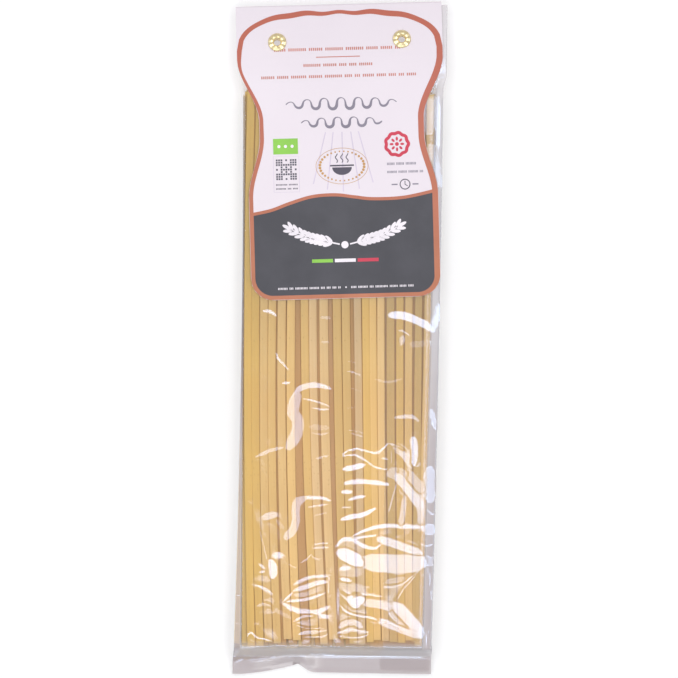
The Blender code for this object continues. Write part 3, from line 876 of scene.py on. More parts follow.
# Normals of the front sheet, so that each glint is lit over its whole width and the film between them isn't
def glintNormals(mesh, points, isFront, field):
    normals = np.zeros(len(mesh.vertices) * 3)
    mesh.vertex_normals.foreach_get("vector", normals)
    normals = normals.reshape(-1, 3)
    chosen = isFront & (points[:, 1] < wrinkles["top"] - 1)
    x, y = points[chosen, 0], points[chosen, 1]
    left, right = pastaSides(y)
    calm = (x > left) & (x < right) & (y > wrinkles["calmStart"])
    firm = sampleField(field, "firm", x, y)
    tilts = []
    for axis, key in enumerate("XY"):
        own = -normals[chosen, axis] / np.maximum(normals[chosen, 2], 0.05)
        own = np.where(calm, sampleField(field, "calm" + key, x, y), own)
        limit = np.where(y < seal["line"] - 0.3, wrinkles["flapTilt"], wrinkles["endTilt"])
        own = np.where(y < wrinkles["calmStart"], np.clip(own, -limit, limit), own)
        tilts.append(-sampleField(field, "glint" + key, x, y) - own * (1 - firm))
    tilted = np.stack([*tilts, np.ones(len(x))], axis=1)
    normals[chosen] = tilted / np.linalg.norm(tilted, axis=1)[:, None]
    mesh.normals_split_custom_set_from_vertices(normals.tolist())


# Rings of points from the flap's cut edge over the filled bag to the inside of the card's fold
def filmRings():
    flapX, flapLayer = flatSection(seal["left"], seal["right"])
    alongs = np.linspace(seal["length"], 0.0, film["flapRings"])
    rings = [flapRing(flapX, flapLayer * min(1.0, 0.15 + 0.25 * k), along) for k, along in enumerate(alongs)]
    shares = np.linspace(0.0, 1.0, film["shoulderRings"] + 2)[1:-1]
    fullStart, neckEnd = bag["pastaEnds"][0] + bag["endRound"], bag["pastaEnds"][1]
    first, last = fullSection(0.0), fullSection(1.0)
    sealRing = rings[-1]
    atSeal, atNeck = film["shoulderStarts"]
    rings += [shoulderRing(sealRing, first, fullStart, share, atSeal) for share in shares[::-1]]
    steps = math.ceil((film["windowEnd"] - fullStart) / film["fineStep"])
    ys = list(np.linspace(fullStart, film["windowEnd"], steps + 1))
    steps = math.ceil((neckEnd - film["windowEnd"]) / film["coarseStep"])
    ys += list(np.linspace(film["windowEnd"], neckEnd, steps + 1))[1:]
    for y in ys:
        xs, zs = fullSection((y - fullStart) / (neckEnd - fullStart))
        rings.append(np.stack([xs, np.full(len(xs), y), zs], axis=1))
    neckX, neckLayer = flatSection(*bag["neck"])
    throatDown = (card["middle"][1] - neckEnd - bag["shoulder"]) / math.cos(card["turn"])
    throat = neckRing(neckX, neckLayer, throatDown)
    rings += [shoulderRing(throat, last, neckEnd, share, atNeck) for share in shares]
    for k, down in enumerate(np.linspace(throatDown, bag["neckInside"], film["neckRings"])):
        opening = min(1.0, 0.2 + 0.3 * (film["neckRings"] - 1 - k))
        rings.append(neckRing(neckX, neckLayer * opening, down))
    return rings


# 1 where the film is milky, and above 0.8 also darkened by painted shade: past the pasta's sides and ends,
# but not on its steep walls
def marginShares(mesh, points):
    x, y = points[:, 0], points[:, 1]
    share = np.clip((y - bag["pastaEnds"][0]) / (bag["pastaEnds"][1] - bag["pastaEnds"][0]), 0.0, 1.0)
    left, right = mix(*bag["pastaLeft"], share), mix(*bag["pastaRight"], share)
    milky = mix(*filmLook["marginHaze"], smooth(*film["sideHazeYs"], y))
    fadeLeft = mix(1.0, film["leftHaze"], smooth(*film["leftHazeYs"], y)) * smooth(115.0, 111.0, y)
    sides = milky * np.maximum(smooth(0.0, 0.9, x - right), smooth(0.0, 0.9, left - x) * fadeLeft)
    ends = smooth(*film["hazeStart"], y)
    normals = np.zeros(len(mesh.vertices) * 3)
    mesh.vertex_normals.foreach_get("vector", normals)
    flat = smooth(*film["hazeFlatness"], np.abs(normals[2::3]))
    return np.maximum(sides * flat, ends * np.where(y < seal["line"] - 0.5, 1.0, film["endHaze"]))


def makeFilm(material):
    field = wrinkleField()
    height = field[2]["height"]
    print("film wrinkles: from", round(float(height.min()), 2), "to", round(float(height.max()), 2), "mm")
    rings = wrinkleFront(filmRings(), field)
    around = len(rings[0])
    points = np.concatenate(rings)
    faces = []
    for row in range(len(rings) - 1):
        for k in range(around):
            a, b = row * around + k, row * around + (k + 1) % around
            faces.append((a, b, b + around, a + around))
    piece = meshPiece("bagFilm", points, faces, material)
    number = np.arange(len(points)) % around
    tuckEnd = film["columns"] + 2 * film["tuckPoints"] + 1
    shine = np.where((number >= film["columns"]) & (number < tuckEnd), filmLook["innerShine"], 1.0)
    atNeck = points[:, 1] > bag["pastaEnds"][1] - film["neckShineStart"]
    shine = np.where(atNeck, shine * mix(*film["neckShine"], smooth(-40.0, 40.0, points[:, 0])), shine)
    margin = marginShares(piece.data, points)
    for name in ("eyelet_left", "eyelet_right"):
        node = frame["nodes"][name]
        middle = sum((node.matrix_world @ Vector(corner) for corner in node.bound_box), Vector()) / 8 / mm
        outside = np.hypot(points[:, 0] - middle.x, points[:, 1] - middle.y) > film["eyeletClear"]
        margin, shine = margin * outside, shine * outside
    for name, values in (("margin", margin), ("shine", shine)):
        layer = piece.data.attributes.new(name, "FLOAT", "POINT")
        layer.data.foreach_set("value", values.astype(np.float32))
    glintNormals(piece.data, points, number < film["columns"], field)
    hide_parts("pasta_bag")
    print("film:", len(rings), "rings of", around, "points")
    return piece


# The strands, by Geometry Nodes

strands = {
    "length": 260.0,
    "width": 4.2,
    "thickness": 1.25,
    "corner": 0.28,
    "segments": 10,
    "seed": 7,
    "rows": 13,
    "rowPitch": 1.64,
    "perRow": 21,
    "topLevel": 21.75,                   # where the front strands' upper faces lie
    # the front strands' middles: X at the card's foot and at the seal end
    "front": (
        (-41.6, -37.6), (-38.0, -33.4), (-34.1, -29.4), (-30.2, -25.3), (-25.7, -20.4), (-21.4, -16.2),
        (-15.2, -7.6), (-11.3, -3.4), (-6.2, 1.0), (-0.1, 6.2), (4.2, 10.4), (9.6, 14.3), (13.4, 18.2),
        (16.9, 21.6), (20.6, 25.4), (25.2, 29.2), (29.6, 33.0), (33.8, 36.4), (38.4, 39.6), (42.8, 40.6),
    ),
    "cardFoot": 17.5,                    # Y of the card's foot
    "frontWidths": (0.86, 1.05),         # narrowest and widest front strand, as shares
    "widths": (0.92, 1.02),
    "secondRaised": 0.3,                 # how much higher the second row lies, between the front strands
    "stray": 0.4,                        # how far a strand under the front row lies or bows off its place
    "innerStray": 0.22,                  # and one in the inner rows, as a share of their pitch
    "lean": (1.6, 0.9),                  # of the inner rows' strands: all together, and each by itself
    "cuts": ((1.6, 6.0), (0.2, 1.6), (0.2, 2.2)),  # how far rows 0, 1 and the others end before the longest
    "farther": 1.1,                      # how much closer to the seal the middle rows come
    "evenLeft": (-38.0, -22.0),          # left of these X the front strands all end at the same Y
    "neckPlay": (2.2, -0.4),             # how far rows 3 to 9 and the others may pass the neck end
    "thick": ((0.94, 1.05), (0.94, 1.05), (1.12, 1.3)),  # thickness in rows 0, 1 and the others, as shares
    "level": (-0.16, 0.12),              # how far a strand lies under or over its row
    "roll": (5.0, 4.0),                  # degrees: front row and others
    "lift": (-0.1, 0.05),                # how far a strand's middle sags or rises
    "creamAll": 0.35,                    # largest share of cream anywhere
    "creamRight": 0.65,                  # and how much more there is right of these X
    "creamXs": (-42.0, -20.0),
    "shade": (0.82, 1.0),                # darkest and brightest strand
    "dimMiddle": (7.0, 7.0, 0.87),       # under the fold: X, half width and brightest strand
    "edges": (0.3, 0.72, -27.0),         # how strongly painted shade darkens front strands' edges: left and right of the X
    "gapShade": 0.72,                    # the same painted shade for the second row, seen in the gaps
}


strandUnits = {"turn": 1.0, "factors": 1.0, "bow": mm, "shade": 1.0}


# A row's strands as X at the seal, X at the neck, bow to the right, and width as a share
def frontRow():
    sealEnd, neckEnd = bag["pastaEnds"]
    share = (strands["cardFoot"] - sealEnd) / (neckEnd - sealEnd)
    middles = [mix(*pair, 0.5) for pair in strands["front"]]
    gaps = [b - a for a, b in zip(middles, middles[1:])]
    gaps = [gaps[0]] + gaps + [gaps[-1]]
    narrowest, widest = strands["frontWidths"]
    row = []
    for k, (atCard, atSeal) in enumerate(strands["front"]):
        spread = (k + 0.5) / len(strands["front"])
        atNeck = mix(bag["pastaLeft"][1] + 0.4, bag["pastaRight"][1] - 0.4, spread)
        bow = (atCard - mix(atSeal, atNeck, share)) / (4 * share * (1 - share))
        room = min(gaps[k], gaps[k + 1]) * 0.97 / strands["width"]
        row.append((atSeal, atNeck, bow, min(max(room, narrowest), widest)))
    return row


# The second row lies under the gaps of the first
def secondRow(draw, front):
    stray = strands["stray"]
    row = []
    for a, b in zip(front, front[1:]):
        atSeal = (a[0] + b[0]) / 2 + draw.uniform(-stray, stray)
        atNeck = (a[1] + b[1]) / 2 + draw.uniform(-stray, stray)
        row.append((atSeal, atNeck, (a[2] + b[2]) / 2, draw.uniform(*strands["widths"])))
    return row


def innerRow(draw):
    stray, innerStray = strands["stray"], strands["innerStray"]
    together, alone = strands["lean"]
    row = []
    for k in range(strands["perRow"]):
        spread = (k + 0.5 + draw.uniform(-innerStray, innerStray)) / strands["perRow"]
        inside = math.sin(math.pi * spread)
        lean = together * inside + draw.uniform(-alone, alone) * inside
        atSeal = mix(bag["pastaLeft"][0] + 0.3, bag["pastaRight"][0] - 0.3, spread) + lean
        atNeck = mix(bag["pastaLeft"][1] + 0.3, bag["pastaRight"][1] - 0.3, spread) - lean
        row.append((atSeal, atNeck, draw.uniform(-stray, stray), draw.uniform(*strands["widths"])))
    return row


# The share of cream, the brightness, and how much painted shade its edges get, or, below 0, how much all of
# it gets
def strandShade(draw, tone, row, middleX):
    darkest, brightest = strands["shade"]
    foldX, foldHalf, dim = strands["dimMiddle"]
    leftEdge, edge, leftEnd = strands["edges"]
    paintedShade = (leftEdge if middleX < leftEnd else edge, -strands["gapShade"], 0.0)[min(row, 2)]
    return tone, draw.uniform(darkest, brightest if abs(middleX - foldX) > foldHalf else dim), paintedShade


# One entry for each strand: middle, turn, size factors, bow and shade, for the points' attributes
def strandPlaces():
    draw = random.Random(strands["seed"])
    places = []
    sealEnd, neckEnd = bag["pastaEnds"]
    ends = frontRow()
    for row in range(strands["rows"]):
        top = strands["topLevel"] - strands["thickness"] / 2 - strands["rowPitch"] * row
        if row == 1:
            top += strands["secondRaised"]
            ends = secondRow(draw, ends)
        elif row > 1:
            ends = innerRow(draw)
        for atSeal, atNeck, bow, wide in ends:
            cut = draw.uniform(*strands["cuts"][min(row, 2)])
            cut -= strands["farther"] * max(0.0, 1 - abs(row - 6) / 5)
            if row == 0:
                cut *= float(smooth(*strands["evenLeft"], atSeal))
            start = sealEnd + cut
            play = strands["neckPlay"][not 3 <= row <= 9]
            length = min(strands["length"], neckEnd - start + play)
            slope = (atNeck - atSeal) / (neckEnd - sealEnd)
            middleY = start + length / 2
            middleX = atSeal + slope * (middleY - sealEnd)
            crown = bodyTop(middleX, bag["pastaLeft"][0], bag["pastaRight"][0]) - bag["height"]
            height = top + crown * (1 - row / strands["rows"]) + draw.uniform(*strands["level"])
            roll = strands["roll"][row > 0]
            roll = math.radians(draw.uniform(-roll, roll))
            tone = draw.uniform(0.0, strands["creamAll"])
            tone += strands["creamRight"] * draw.random() * float(smooth(*strands["creamXs"], middleX))
            places.append({
                "middle": (middleX, middleY, height),
                "turn": (0.0, roll, -math.atan(slope)),
                "factors": (wide, length / strands["length"], draw.uniform(*strands["thick"][min(row, 2)])),
                "bow": (bow, 0.0, draw.uniform(*strands["lift"])),
                "shade": strandShade(draw, tone, row, middleX),
            })
    return places


# A tree from points to a mesh, with its named inputs given as socket kinds and values
def newTree(name, sockets):
    tree = bpy.data.node_groups.new(name, "GeometryNodeTree")
    tree.interface.new_socket(name="Points", in_out="INPUT", socket_type="NodeSocketGeometry")
    tree.interface.new_socket(name="Mesh", in_out="OUTPUT", socket_type="NodeSocketGeometry")
    for socketName, (kind, value) in sockets.items():
        socket = tree.interface.new_socket(name=socketName, in_out="INPUT", socket_type="NodeSocket" + kind)
        socket.default_value = value
    return tree, tree.nodes.new("NodeGroupInput").outputs


def named(tree, name):
    node = addNode(tree, "GeometryNodeInputNamedAttribute", {"Name": name}, data_type="FLOAT_VECTOR")
    return node.outputs["Attribute"]


def stored(tree, geometry, name, value, domain):
    inputs = {"Geometry": geometry, "Name": name, "Value": value}
    node = addNode(tree, "GeometryNodeStoreNamedAttribute", inputs, data_type="FLOAT_VECTOR", domain=domain)
    return node.outputs[0]


def spreadOnPoints(tree, points, instance):
    inputs = {"Points": points, "Instance": instance, "Rotation": named(tree, "turn")}
    inputs["Scale"] = named(tree, "factors")
    return addNode(tree, "GeometryNodeInstanceOnPoints", inputs).outputs[0]


def finishTree(tree, geometry, material):
    finished = addNode(tree, "GeometryNodeSetMaterial", {"Geometry": geometry, "Material": material})
    result = tree.nodes.new("NodeGroupOutput")
    tree.links.new(finished.outputs[0], result.inputs[0])
    return tree


def strandSockets():
    sizes = ("Length", "Width", "Thickness", "Corner")
    sockets = {name: ("Float", strands[name.lower()] * mm) for name in sizes}
    return {**sockets, "Segments": ("Int", strands["segments"])}


# Points with turn, factors, bow and shade become ribbon strands with a rounded section. For its material each
# keeps its shade, as tone, and the places on the straight strand, as strandPlace.
def strandTree(material, sockets):
    tree, given = newTree("strandBundle", sockets)
    half = calc(tree, "MULTIPLY", given["Length"], 0.5)
    start = addNode(tree, "ShaderNodeCombineXYZ", {"Y": calc(tree, "MULTIPLY", half, -1.0)})
    end = addNode(tree, "ShaderNodeCombineXYZ", {"Y": half})
    line = addNode(tree, "GeometryNodeCurvePrimitiveLine", {"Start": start.outputs[0], "End": end.outputs[0]})
    count = calc(tree, "ADD", given["Segments"], 1.0)
    path = addNode(tree, "GeometryNodeResampleCurve", {"Curve": line.outputs[0], "Count": count})
    section = addNode(tree, "GeometryNodeCurvePrimitiveQuadrilateral",
                      {"Width": given["Width"], "Height": given["Thickness"]})
    rounded = addNode(tree, "GeometryNodeFilletCurve",
                      {"Curve": section.outputs[0], "Radius": given["Corner"], "Count": 2}, mode="POLY")
    ribbon = addNode(tree, "GeometryNodeCurveToMesh",
                     {"Curve": path.outputs[0], "Profile Curve": rounded.outputs[0], "Fill Caps": True})
    position = addNode(tree, "GeometryNodeInputPosition").outputs[0]
    placed = stored(tree, ribbon.outputs[0], "strandPlace", position, "POINT")
    spread = spreadOnPoints(tree, given["Points"], placed)
    toned = stored(tree, spread, "tone", named(tree, "shade"), "INSTANCE")
    real = addNode(tree, "GeometryNodeRealizeInstances", {"Geometry": toned})
    along = calc(tree, "DIVIDE", axes(tree, named(tree, "strandPlace"))["Y"], half)
    bowShare = calc(tree, "SUBTRACT", 1.0, calc(tree, "MULTIPLY", along, along))
    bowed = {0: named(tree, "bow"), "Scale": bowShare}
    offset = addNode(tree, "ShaderNodeVectorMath", bowed, operation="SCALE").outputs[0]
    moved = {"Geometry": real.outputs[0], "Offset": offset}
    bent = addNode(tree, "GeometryNodeSetPosition", moved).outputs[0]
    flat = addNode(tree, "GeometryNodeSetShadeSmooth", {"Geometry": bent, "Shade Smooth": False})
    return finishTree(tree, flat.outputs[0], material)


# A mesh of loose points with a vector attribute for each key, in metres where it is a length
def pointCloudMesh(name, places, units):
    mesh = bpy.data.meshes.new(name)
    mesh.from_pydata([tuple(v * mm for v in place["middle"]) for place in places], [], [])
    for key, unit in units.items():
        attribute = mesh.attributes.new(key, "FLOAT_VECTOR", "POINT")
        for item, place in zip(attribute.data, places):
            item.vector = tuple(v * unit for v in place[key])
    return mesh


# The plain mesh that a node tree makes from these points, as a finished piece
def applyTree(name, mesh, tree, sockets, material):
    source = bpy.data.objects.new(name + "Points", mesh)
    bpy.context.scene.collection.objects.link(source)
    modifier = source.modifiers.new(name, "NODES")
    modifier.node_group = tree
    for socket in tree.interface.items_tree:
        if socket.in_out == "INPUT" and socket.name in sockets:
            modifier[socket.identifier] = sockets[socket.name][1]
    evaluated = source.evaluated_get(bpy.context.evaluated_depsgraph_get())
    result = bpy.data.meshes.new_from_object(evaluated)
    source.modifiers.remove(modifier)
    bpy.data.objects.remove(source)
    result.name = name
    if not result.materials:
        result.materials.append(material)
    return linkPiece(name, result)


def makeStrands(material):
    places = strandPlaces()
    points = pointCloudMesh("strandPoints", places, strandUnits)
    sockets = strandSockets()
    piece = applyTree("pastaStrands", points, strandTree(material, sockets), sockets, material)
    triangles = sum(len(face.vertices) - 2 for face in piece.data.polygons)
    print("strands:", len(places), "with", triangles, "triangles")
    return piece


# The card's print, in millimetres across the card from its middle and down from its fold

inks = {
    # colour, roughness, height over the card
    "lavender": ((0.66, 0.575, 0.69), 0.45, 0.012),
    "charcoal": ((0.074, 0.072, 0.084), 0.42, 0.016),
    "copper": ((0.50, 0.185, 0.105), 0.40, 0.030),
    "copperFine": ((0.56, 0.20, 0.15), 0.45, 0.038),
    "grey": ((0.25, 0.225, 0.28), 0.45, 0.046),
    "dark": ((0.10, 0.09, 0.12), 0.45, 0.054),
    "green": ((0.27, 0.57, 0.09), 0.45, 0.062),
    "red": ((0.62, 0.06, 0.10), 0.45, 0.070),
    "gold": ((0.55, 0.31, 0.12), 0.45, 0.078),
    "white": ((0.86, 0.80, 0.85), 0.45, 0.086),
}

printing = {
    "gloss": 0.13,
    "copperTop": (0.52, 0.155, 0.108),
    "copperTopYs": (30.0, 120.0),        # over what Y copper turns to that
    "step": 0.0012,                      # between one overlapping shape and the next
    "thickness": 0.02,
    "borderLeft": 1.9,                   # width of the copper border
    "borderRight": 2.7,
    "borderTop": 2.1,
    # how wide the border is at these places down the card, at the left and at the right, as shares
    "borderSwell": ((21.0, 31.0, 48.0, 62.0), (1.2, 0.65, 0.9, 1.0), (1.05, 1.1, 1.0, 1.0)),
    "borderGap": 0.12,                   # between the border and the die-cut edge
    "archStart": 21.0,                   # where the border leaves the side edges for the arch
    "archTop": 3.6,
    "wave": ((-42.9, 97.6), (-34.0, 95.9), (-25.7, 93.0), (-14.9, 90.0), (-4.1, 89.4), (5.0, 90.6),
             (13.7, 91.7), (28.1, 91.4), (42.9, 88.6)),
    "waveWidth": 1.5,
    "dotSides": 12,
    "seed": 11,
}

# Where the printed marks are. Strokes: left, right, down, height and pitch. Boxes: left, top, right, bottom.
# Round marks: across and down, and then their half width and half height.
marks = {
    "fineStrokes": ((-30.5, 29.0, 21.0, 1.9, 0.95), (-16.9, 15.4, 28.5, 1.8, 0.92),
                    (-36.8, 35.9, 33.8, 1.8, 0.92)),
    "rule": (-11.2, 24.55, 9.4, 24.95),
    # left, right, down, swing and number of waves
    "ribbons": ((-26.0, 26.0, 46.6, 2.6, 6.5), (-19.0, 19.0, 55.4, 2.3, 5.0)),
    "rays": (-14.0, -7.5, 0.0, 7.5, 14.0),
    "rayDowns": (60.0, 88.0),
    "box": (-32.4, 62.5, -20.8, 69.8),
    "boxDots": (-26.6, 66.15, 3.1, 1.5),  # the middle one, their pitch and size
    "frame": (-32.5, 70.8, -20.5, 87.6),
    "squares": (-30.9, 72.6, 1.1, 0.82),  # the first one, their pitch and size
    "squareRow": 9,
    "squareRings": (0, 1, 4, 5, 8, 13, 16, 18, 20, 25, 32),  # squared distances from the middle one
    "frameStrokes": ((-31.3, -21.4, 84.1, 0.95, 0.6), (-31.3, -21.4, 86.0, 0.95, 0.6)),
    "oval": (-0.4, 76.0, 12.2, 8.4),
    "ovalDots": (32, 10.4, 6.9),         # how many, and the half width and half height of their ring
    "bowl": (-0.4, 76.6, 4.6, 3.6),
    "bowlRim": (-6.0, 75.4, 5.2, 76.1),
    "steam": (-2.9, -0.4, 2.1),
    "steamFoot": 74.4,
    "rosette": (25.6, 66.4, 5.2, 5.2),
    "rosetteDot": (25.6, 66.4, 0.9, 0.9),
    "petals": (8, 2.5, 1.9, 1.1),        # how many, how far out, and their size
    "sideStrokes": ((20.9, 34.6, 75.6, 1.6, 0.62), (20.9, 37.4, 79.4, 1.5, 0.58)),
    "clock": (28.9, 85.3, 2.3, 2.3),
    "hands": ((28.9, 83.7), (28.9, 85.4), (30.1, 86.1)),
    "dashes": ((22.6, 85.0, 25.4, 85.6), (32.4, 85.0, 35.2, 85.6)),
    "ear": ((-2.4, 112.6), (-10.0, 110.8), (-18.0, 108.6), (-27.0, 104.0)),
    "earKernels": (9, 4.6),              # pairs, and the length of one
    "earKnot": (0.0, 112.9, 1.7, 1.7),
    "bars": (("green", -15.6), ("white", -4.9), ("red", 5.8)),  # ink and left end
    "barSize": (9.8, 119.4, 121.0),      # width, top and bottom
    "footStrokes": ((-31.6, -2.6, 132.8, 1.35, 0.66), (2.6, 31.6, 132.8, 1.35, 0.66)),
    "footDot": (0.0, 132.8, 0.8),
}


# Height of the card's upper face
def cardTop(down):
    slope = (cardUnderside(down + 0.05) - cardUnderside(down - 0.05)) / 0.1
    return cardUnderside(down) + card["thickness"] * np.sqrt(1 + slope**2)


def inkMaterial(name):
    colour, roughness, _ = inks[name]
    material, tree, output = newMaterial(name + "Ink")
    place = objectPlace(tree)
    worn = tuple(min(1.0, v * 1.14 + 0.006) for v in colour)
    base = ramp(tree, noise(tree, place, 60.0, 3.0), [(0.35, colour), (0.7, worn)])
    if name == "copper":
        up = ranged(tree, axes(tree, place)["Y"], *(y * mm for y in printing["copperTopYs"]))
        base = mixColour(tree, up, base, printing["copperTop"])
    setSurface(tree, output, {
        "Base Color": base, "Roughness": roughness, "Specular IOR Level": printing["gloss"],
    })
    return material


def cardPlace(across, down, height):
    x, y = onCard(across, down)
    return x, y, float(cardTop(down)) + height


# The two edges of a line of some width
def lineEdges(path, widths, closed=False):
    points = np.array(path, dtype=float)
    if closed:
        run = np.roll(points, -1, axis=0) - np.roll(points, 1, axis=0)
    else:
        run = np.gradient(points, axis=0)
    run /= np.maximum(np.linalg.norm(run, axis=1), 1e-9)[:, None]
    side = np.stack([-run[:, 1], run[:, 0]], axis=1) * (np.broadcast_to(widths, len(points)) / 2)[:, None]
    return (points + side).tolist(), (points - side).tolist(), closed


def boxEdges(left, top, right, bottom):
    return [(left, top), (right, top)], [(left, bottom), (right, bottom)], False


def discEdges(across, down, halfWide, halfTall, steps=40):
    upper, lower = [], []
    for turn in np.linspace(math.pi - 0.03, 0.03, steps):
        for edge, angle in ((upper, turn), (lower, -turn)):
            edge.append((across + halfWide * math.cos(angle), down - halfTall * math.sin(angle)))
    return upper, lower, False


def ringEdges(across, down, halfWide, halfTall, width, lobes=0, lobeDepth=0.0, steps=72):
    path = []
    for k in range(steps):
        angle = math.tau * k / steps
        far = 1 + lobeDepth * math.cos(lobes * angle)
        path.append((across + halfWide * far * math.cos(angle), down + halfTall * far * math.sin(angle)))
    return lineEdges(path, width, closed=True)


# A thin closed piece for each band between two edges
def bandPiece(name, bands, ink):
    points, faces = [], []
    thick = printing["thickness"]
    for number, (edgeA, edgeB, closed) in enumerate(bands):
        height = inks[ink][2] + printing["step"] * (number % 6)
        first, count = len(points), len(edgeA)
        for a, b in zip(edgeA, edgeB):
            points += [cardPlace(*a, height + thick), cardPlace(*b, height + thick)]
            points += [cardPlace(*b, height), cardPlace(*a, height)]
        for k in range(count if closed else count - 1):
            here, there = first + 4 * k, first + 4 * ((k + 1) % count)
            for j in range(4):
                i = (j + 1) % 4
                faces.append((here + j, here + i, there + i, there + j))
        if not closed:
            last = first + 4 * (count - 1)
            faces.append((first + 3, first + 2, first + 1, first))
            faces.append((last, last + 1, last + 2, last + 3))
    piece = meshPiece(name, points, faces, inkMaterial(ink), shadeSmooth=False)
    shape = bmesh.new()
    shape.from_mesh(piece.data)
    bmesh.ops.recalc_face_normals(shape, faces=shape.faces)
    shape.to_mesh(piece.data)
    shape.free()
    return piece


# The border's course once round the card, with its width at each point
def borderPath():
    path, widths = [], []
    wide = {-1: printing["borderLeft"], 1: printing["borderRight"]}
    gap = printing["borderGap"]

    def widthAt(side, down):
        places, atLeft, atRight = printing["borderSwell"]
        return wide[side] * float(np.interp(down, places, atLeft if side < 0 else atRight))

    def atEdge(side, down):
        width = widthAt(side, down)
        path.append((side * (cardHalfWidth(down) - gap - width / 2), down))
        widths.append(width)

    start = printing["archStart"]
    reach = {side: cardHalfWidth(start) - gap - widthAt(side, start) / 2 for side in wide}
    for across in np.linspace(-reach[-1], reach[1], 90)[1:-1]:
        side = 1 if across > 0 else -1
        out = abs(across) / reach[side]
        rise = 1 - (1 - out**3.2) ** (1 / 2.2)
        ripple = 0.9 * (1 - math.cos(math.tau * 3 * out)) / 2 * (1 - out)
        path.append((across, mix(printing["archTop"], start, rise) + ripple))
        middle = printing["borderTop"] * (0.8 + 0.45 * math.sin(math.pi * out) ** 2)
        widths.append(mix(middle, widthAt(side, start), out**3))
    corner = card["footCorner"]
    cornerDown = card["length"] - corner
    for down in np.linspace(printing["archStart"], cornerDown, 80):
        atEdge(1, down)
    bottom = wide[-1]
    for side in (1, -1):
        turns = np.linspace(0, 90, 12)[1:] if side == 1 else np.linspace(90, 0, 12)[:-1]
        middle = card["halfWidths"][2] - corner
        for turn in np.radians(turns):
            width = mix(wide[side], bottom, turn / math.radians(90))
            radius = corner - gap - width / 2
            path.append((side * (middle + radius * math.cos(turn)), cornerDown + radius * math.sin(turn)))
            widths.append(width)
    for down in np.linspace(cornerDown, printing["archStart"], 80):
        atEdge(-1, down)
    return path, widths


def waveDown(across):
    course = np.array(smoothCourse(printing["wave"]))
    return np.interp(across, course[:, 0], course[:, 1])


# The panel's edges, column by column: the wavy line, and the foot of the card
def panelEdges():
    corner, gap = card["footCorner"], printing["borderGap"] + 0.6
    reach = card["halfWidths"][2] - gap
    acrosses = np.linspace(-reach, reach, 90)
    upper, lower = [], []
    for across in acrosses:
        into = max(0.0, abs(across) - (card["halfWidths"][2] - corner))
        rise = corner - math.sqrt(max((corner - gap) ** 2 - min(into, corner - gap) ** 2, 0.0))
        upper.append((across, float(waveDown(across))))
        lower.append((across, card["length"] - max(rise, gap)))
    return upper, lower, False


# Small upright strokes in groups
def strokeLine(draw, left, right, down, tall, pitch):
    stamps, across = [], left
    while across < right:
        for _ in range(draw.randint(3, 9)):
            if across > right:
                break
            stamps.append(stamp(across, down, 0.0, pitch * 0.58, tall * 0.72))
            across += pitch
        across += pitch * 1.1
    return stamps


def stamp(across, down, turn, wide, tall):
    level = printing["step"] * (round(across * 7 + down * 3) % 6)
    turn = (0.0, 0.0, math.radians(turn))
    return {"middle": (across, -down, level), "turn": turn, "factors": (wide, tall, 1.0)}


# Kernels in pairs up a curved stem, with one at its tip
def wheatEar(path, pairs, kernel):
    course = np.array(smoothCourse(path))
    stamps = []
    for k in range(pairs + 1):
        place = (0.22 + 0.78 * k / pairs) * (len(course) - 1)
        i = min(int(place), len(course) - 2)
        x, y = mix(course[i], course[i + 1], place - i)
        run = course[i + 1] - course[i]
        turn = math.degrees(math.atan2(-run[1], run[0]))
        for side in (-1, 1) if k < pairs else (0,):
            angle = math.radians(turn + side * 62)
            reach = kernel * 0.33 * abs(side)
            stamps.append(stamp(x + reach * math.cos(angle), y - reach * math.sin(angle), turn + side * 30,
                                kernel, kernel * 0.36))
    return stamps


def mirrored(stamps):
    flipped = []
    for item in stamps:
        x, y, z = item["middle"]
        flipped.append({**item, "middle": (-x, y, z), "turn": (0.0, 0.0, math.pi - item["turn"][2])})
    return flipped


def stampSockets(isRound):
    return {
        "Size": ("Float", mm),
        "Thickness": ("Float", printing["thickness"] * mm),
        "Sides": ("Int", printing["dotSides"]),
        "Round": ("Bool", isRound),
    }


# Thin box or round stamps, one for each point, sized and turned by the points' attributes
def stampTree(material, sockets):
    tree, given = newTree("printStamps", sockets)
    size, thickness = given["Size"], given["Thickness"]
    radius = calc(tree, "MULTIPLY", size, 0.5)
    disc = addNode(tree, "GeometryNodeMeshCylinder",
                   {"Vertices": given["Sides"], "Radius": radius, "Depth": thickness})
    sizes = addNode(tree, "ShaderNodeCombineXYZ", {"X": size, "Y": size, "Z": thickness})
    box = addNode(tree, "GeometryNodeMeshCube", {"Size": sizes.outputs[0]})
    choices = {"Switch": given["Round"], "False": box.outputs[0], "True": disc.outputs[0]}
    choice = addNode(tree, "GeometryNodeSwitch", choices, input_type="GEOMETRY")
    spread = spreadOnPoints(tree, given["Points"], choice.outputs[0])
    real = addNode(tree, "GeometryNodeRealizeInstances", {"Geometry": spread})
    return finishTree(tree, real.outputs[0], material)


def stampPiece(name, stamps, ink, isRound):
    material, sockets = inkMaterial(ink), stampSockets(isRound)
    mesh = pointCloudMesh(name + "Points", stamps, {"turn": 1.0, "factors": 1.0})
    piece = applyTree(name, mesh, stampTree(material, sockets), sockets, material)
    level = inks[ink][2] + printing["thickness"] / 2
    for vertex in piece.data.vertices:
        across, up, height = (v / mm for v in vertex.co)
        vertex.co = [v * mm for v in cardPlace(across, -up, level + height)]
    return piece


# Each of these adds its marks to the sheet, which holds bands, strokes and rounds by ink.

def addStrokes(sheet, draw, ink, key):
    for line in marks[key]:
        sheet["strokes"][ink] += strokeLine(draw, *line)


def addBoxes(sheet, ink, *boxes):
    sheet["bands"][ink] += [boxEdges(*box) for box in boxes]


def addLine(sheet, ink, path, widths, closed=False):
    sheet["bands"][ink].append(lineEdges(path, widths, closed))


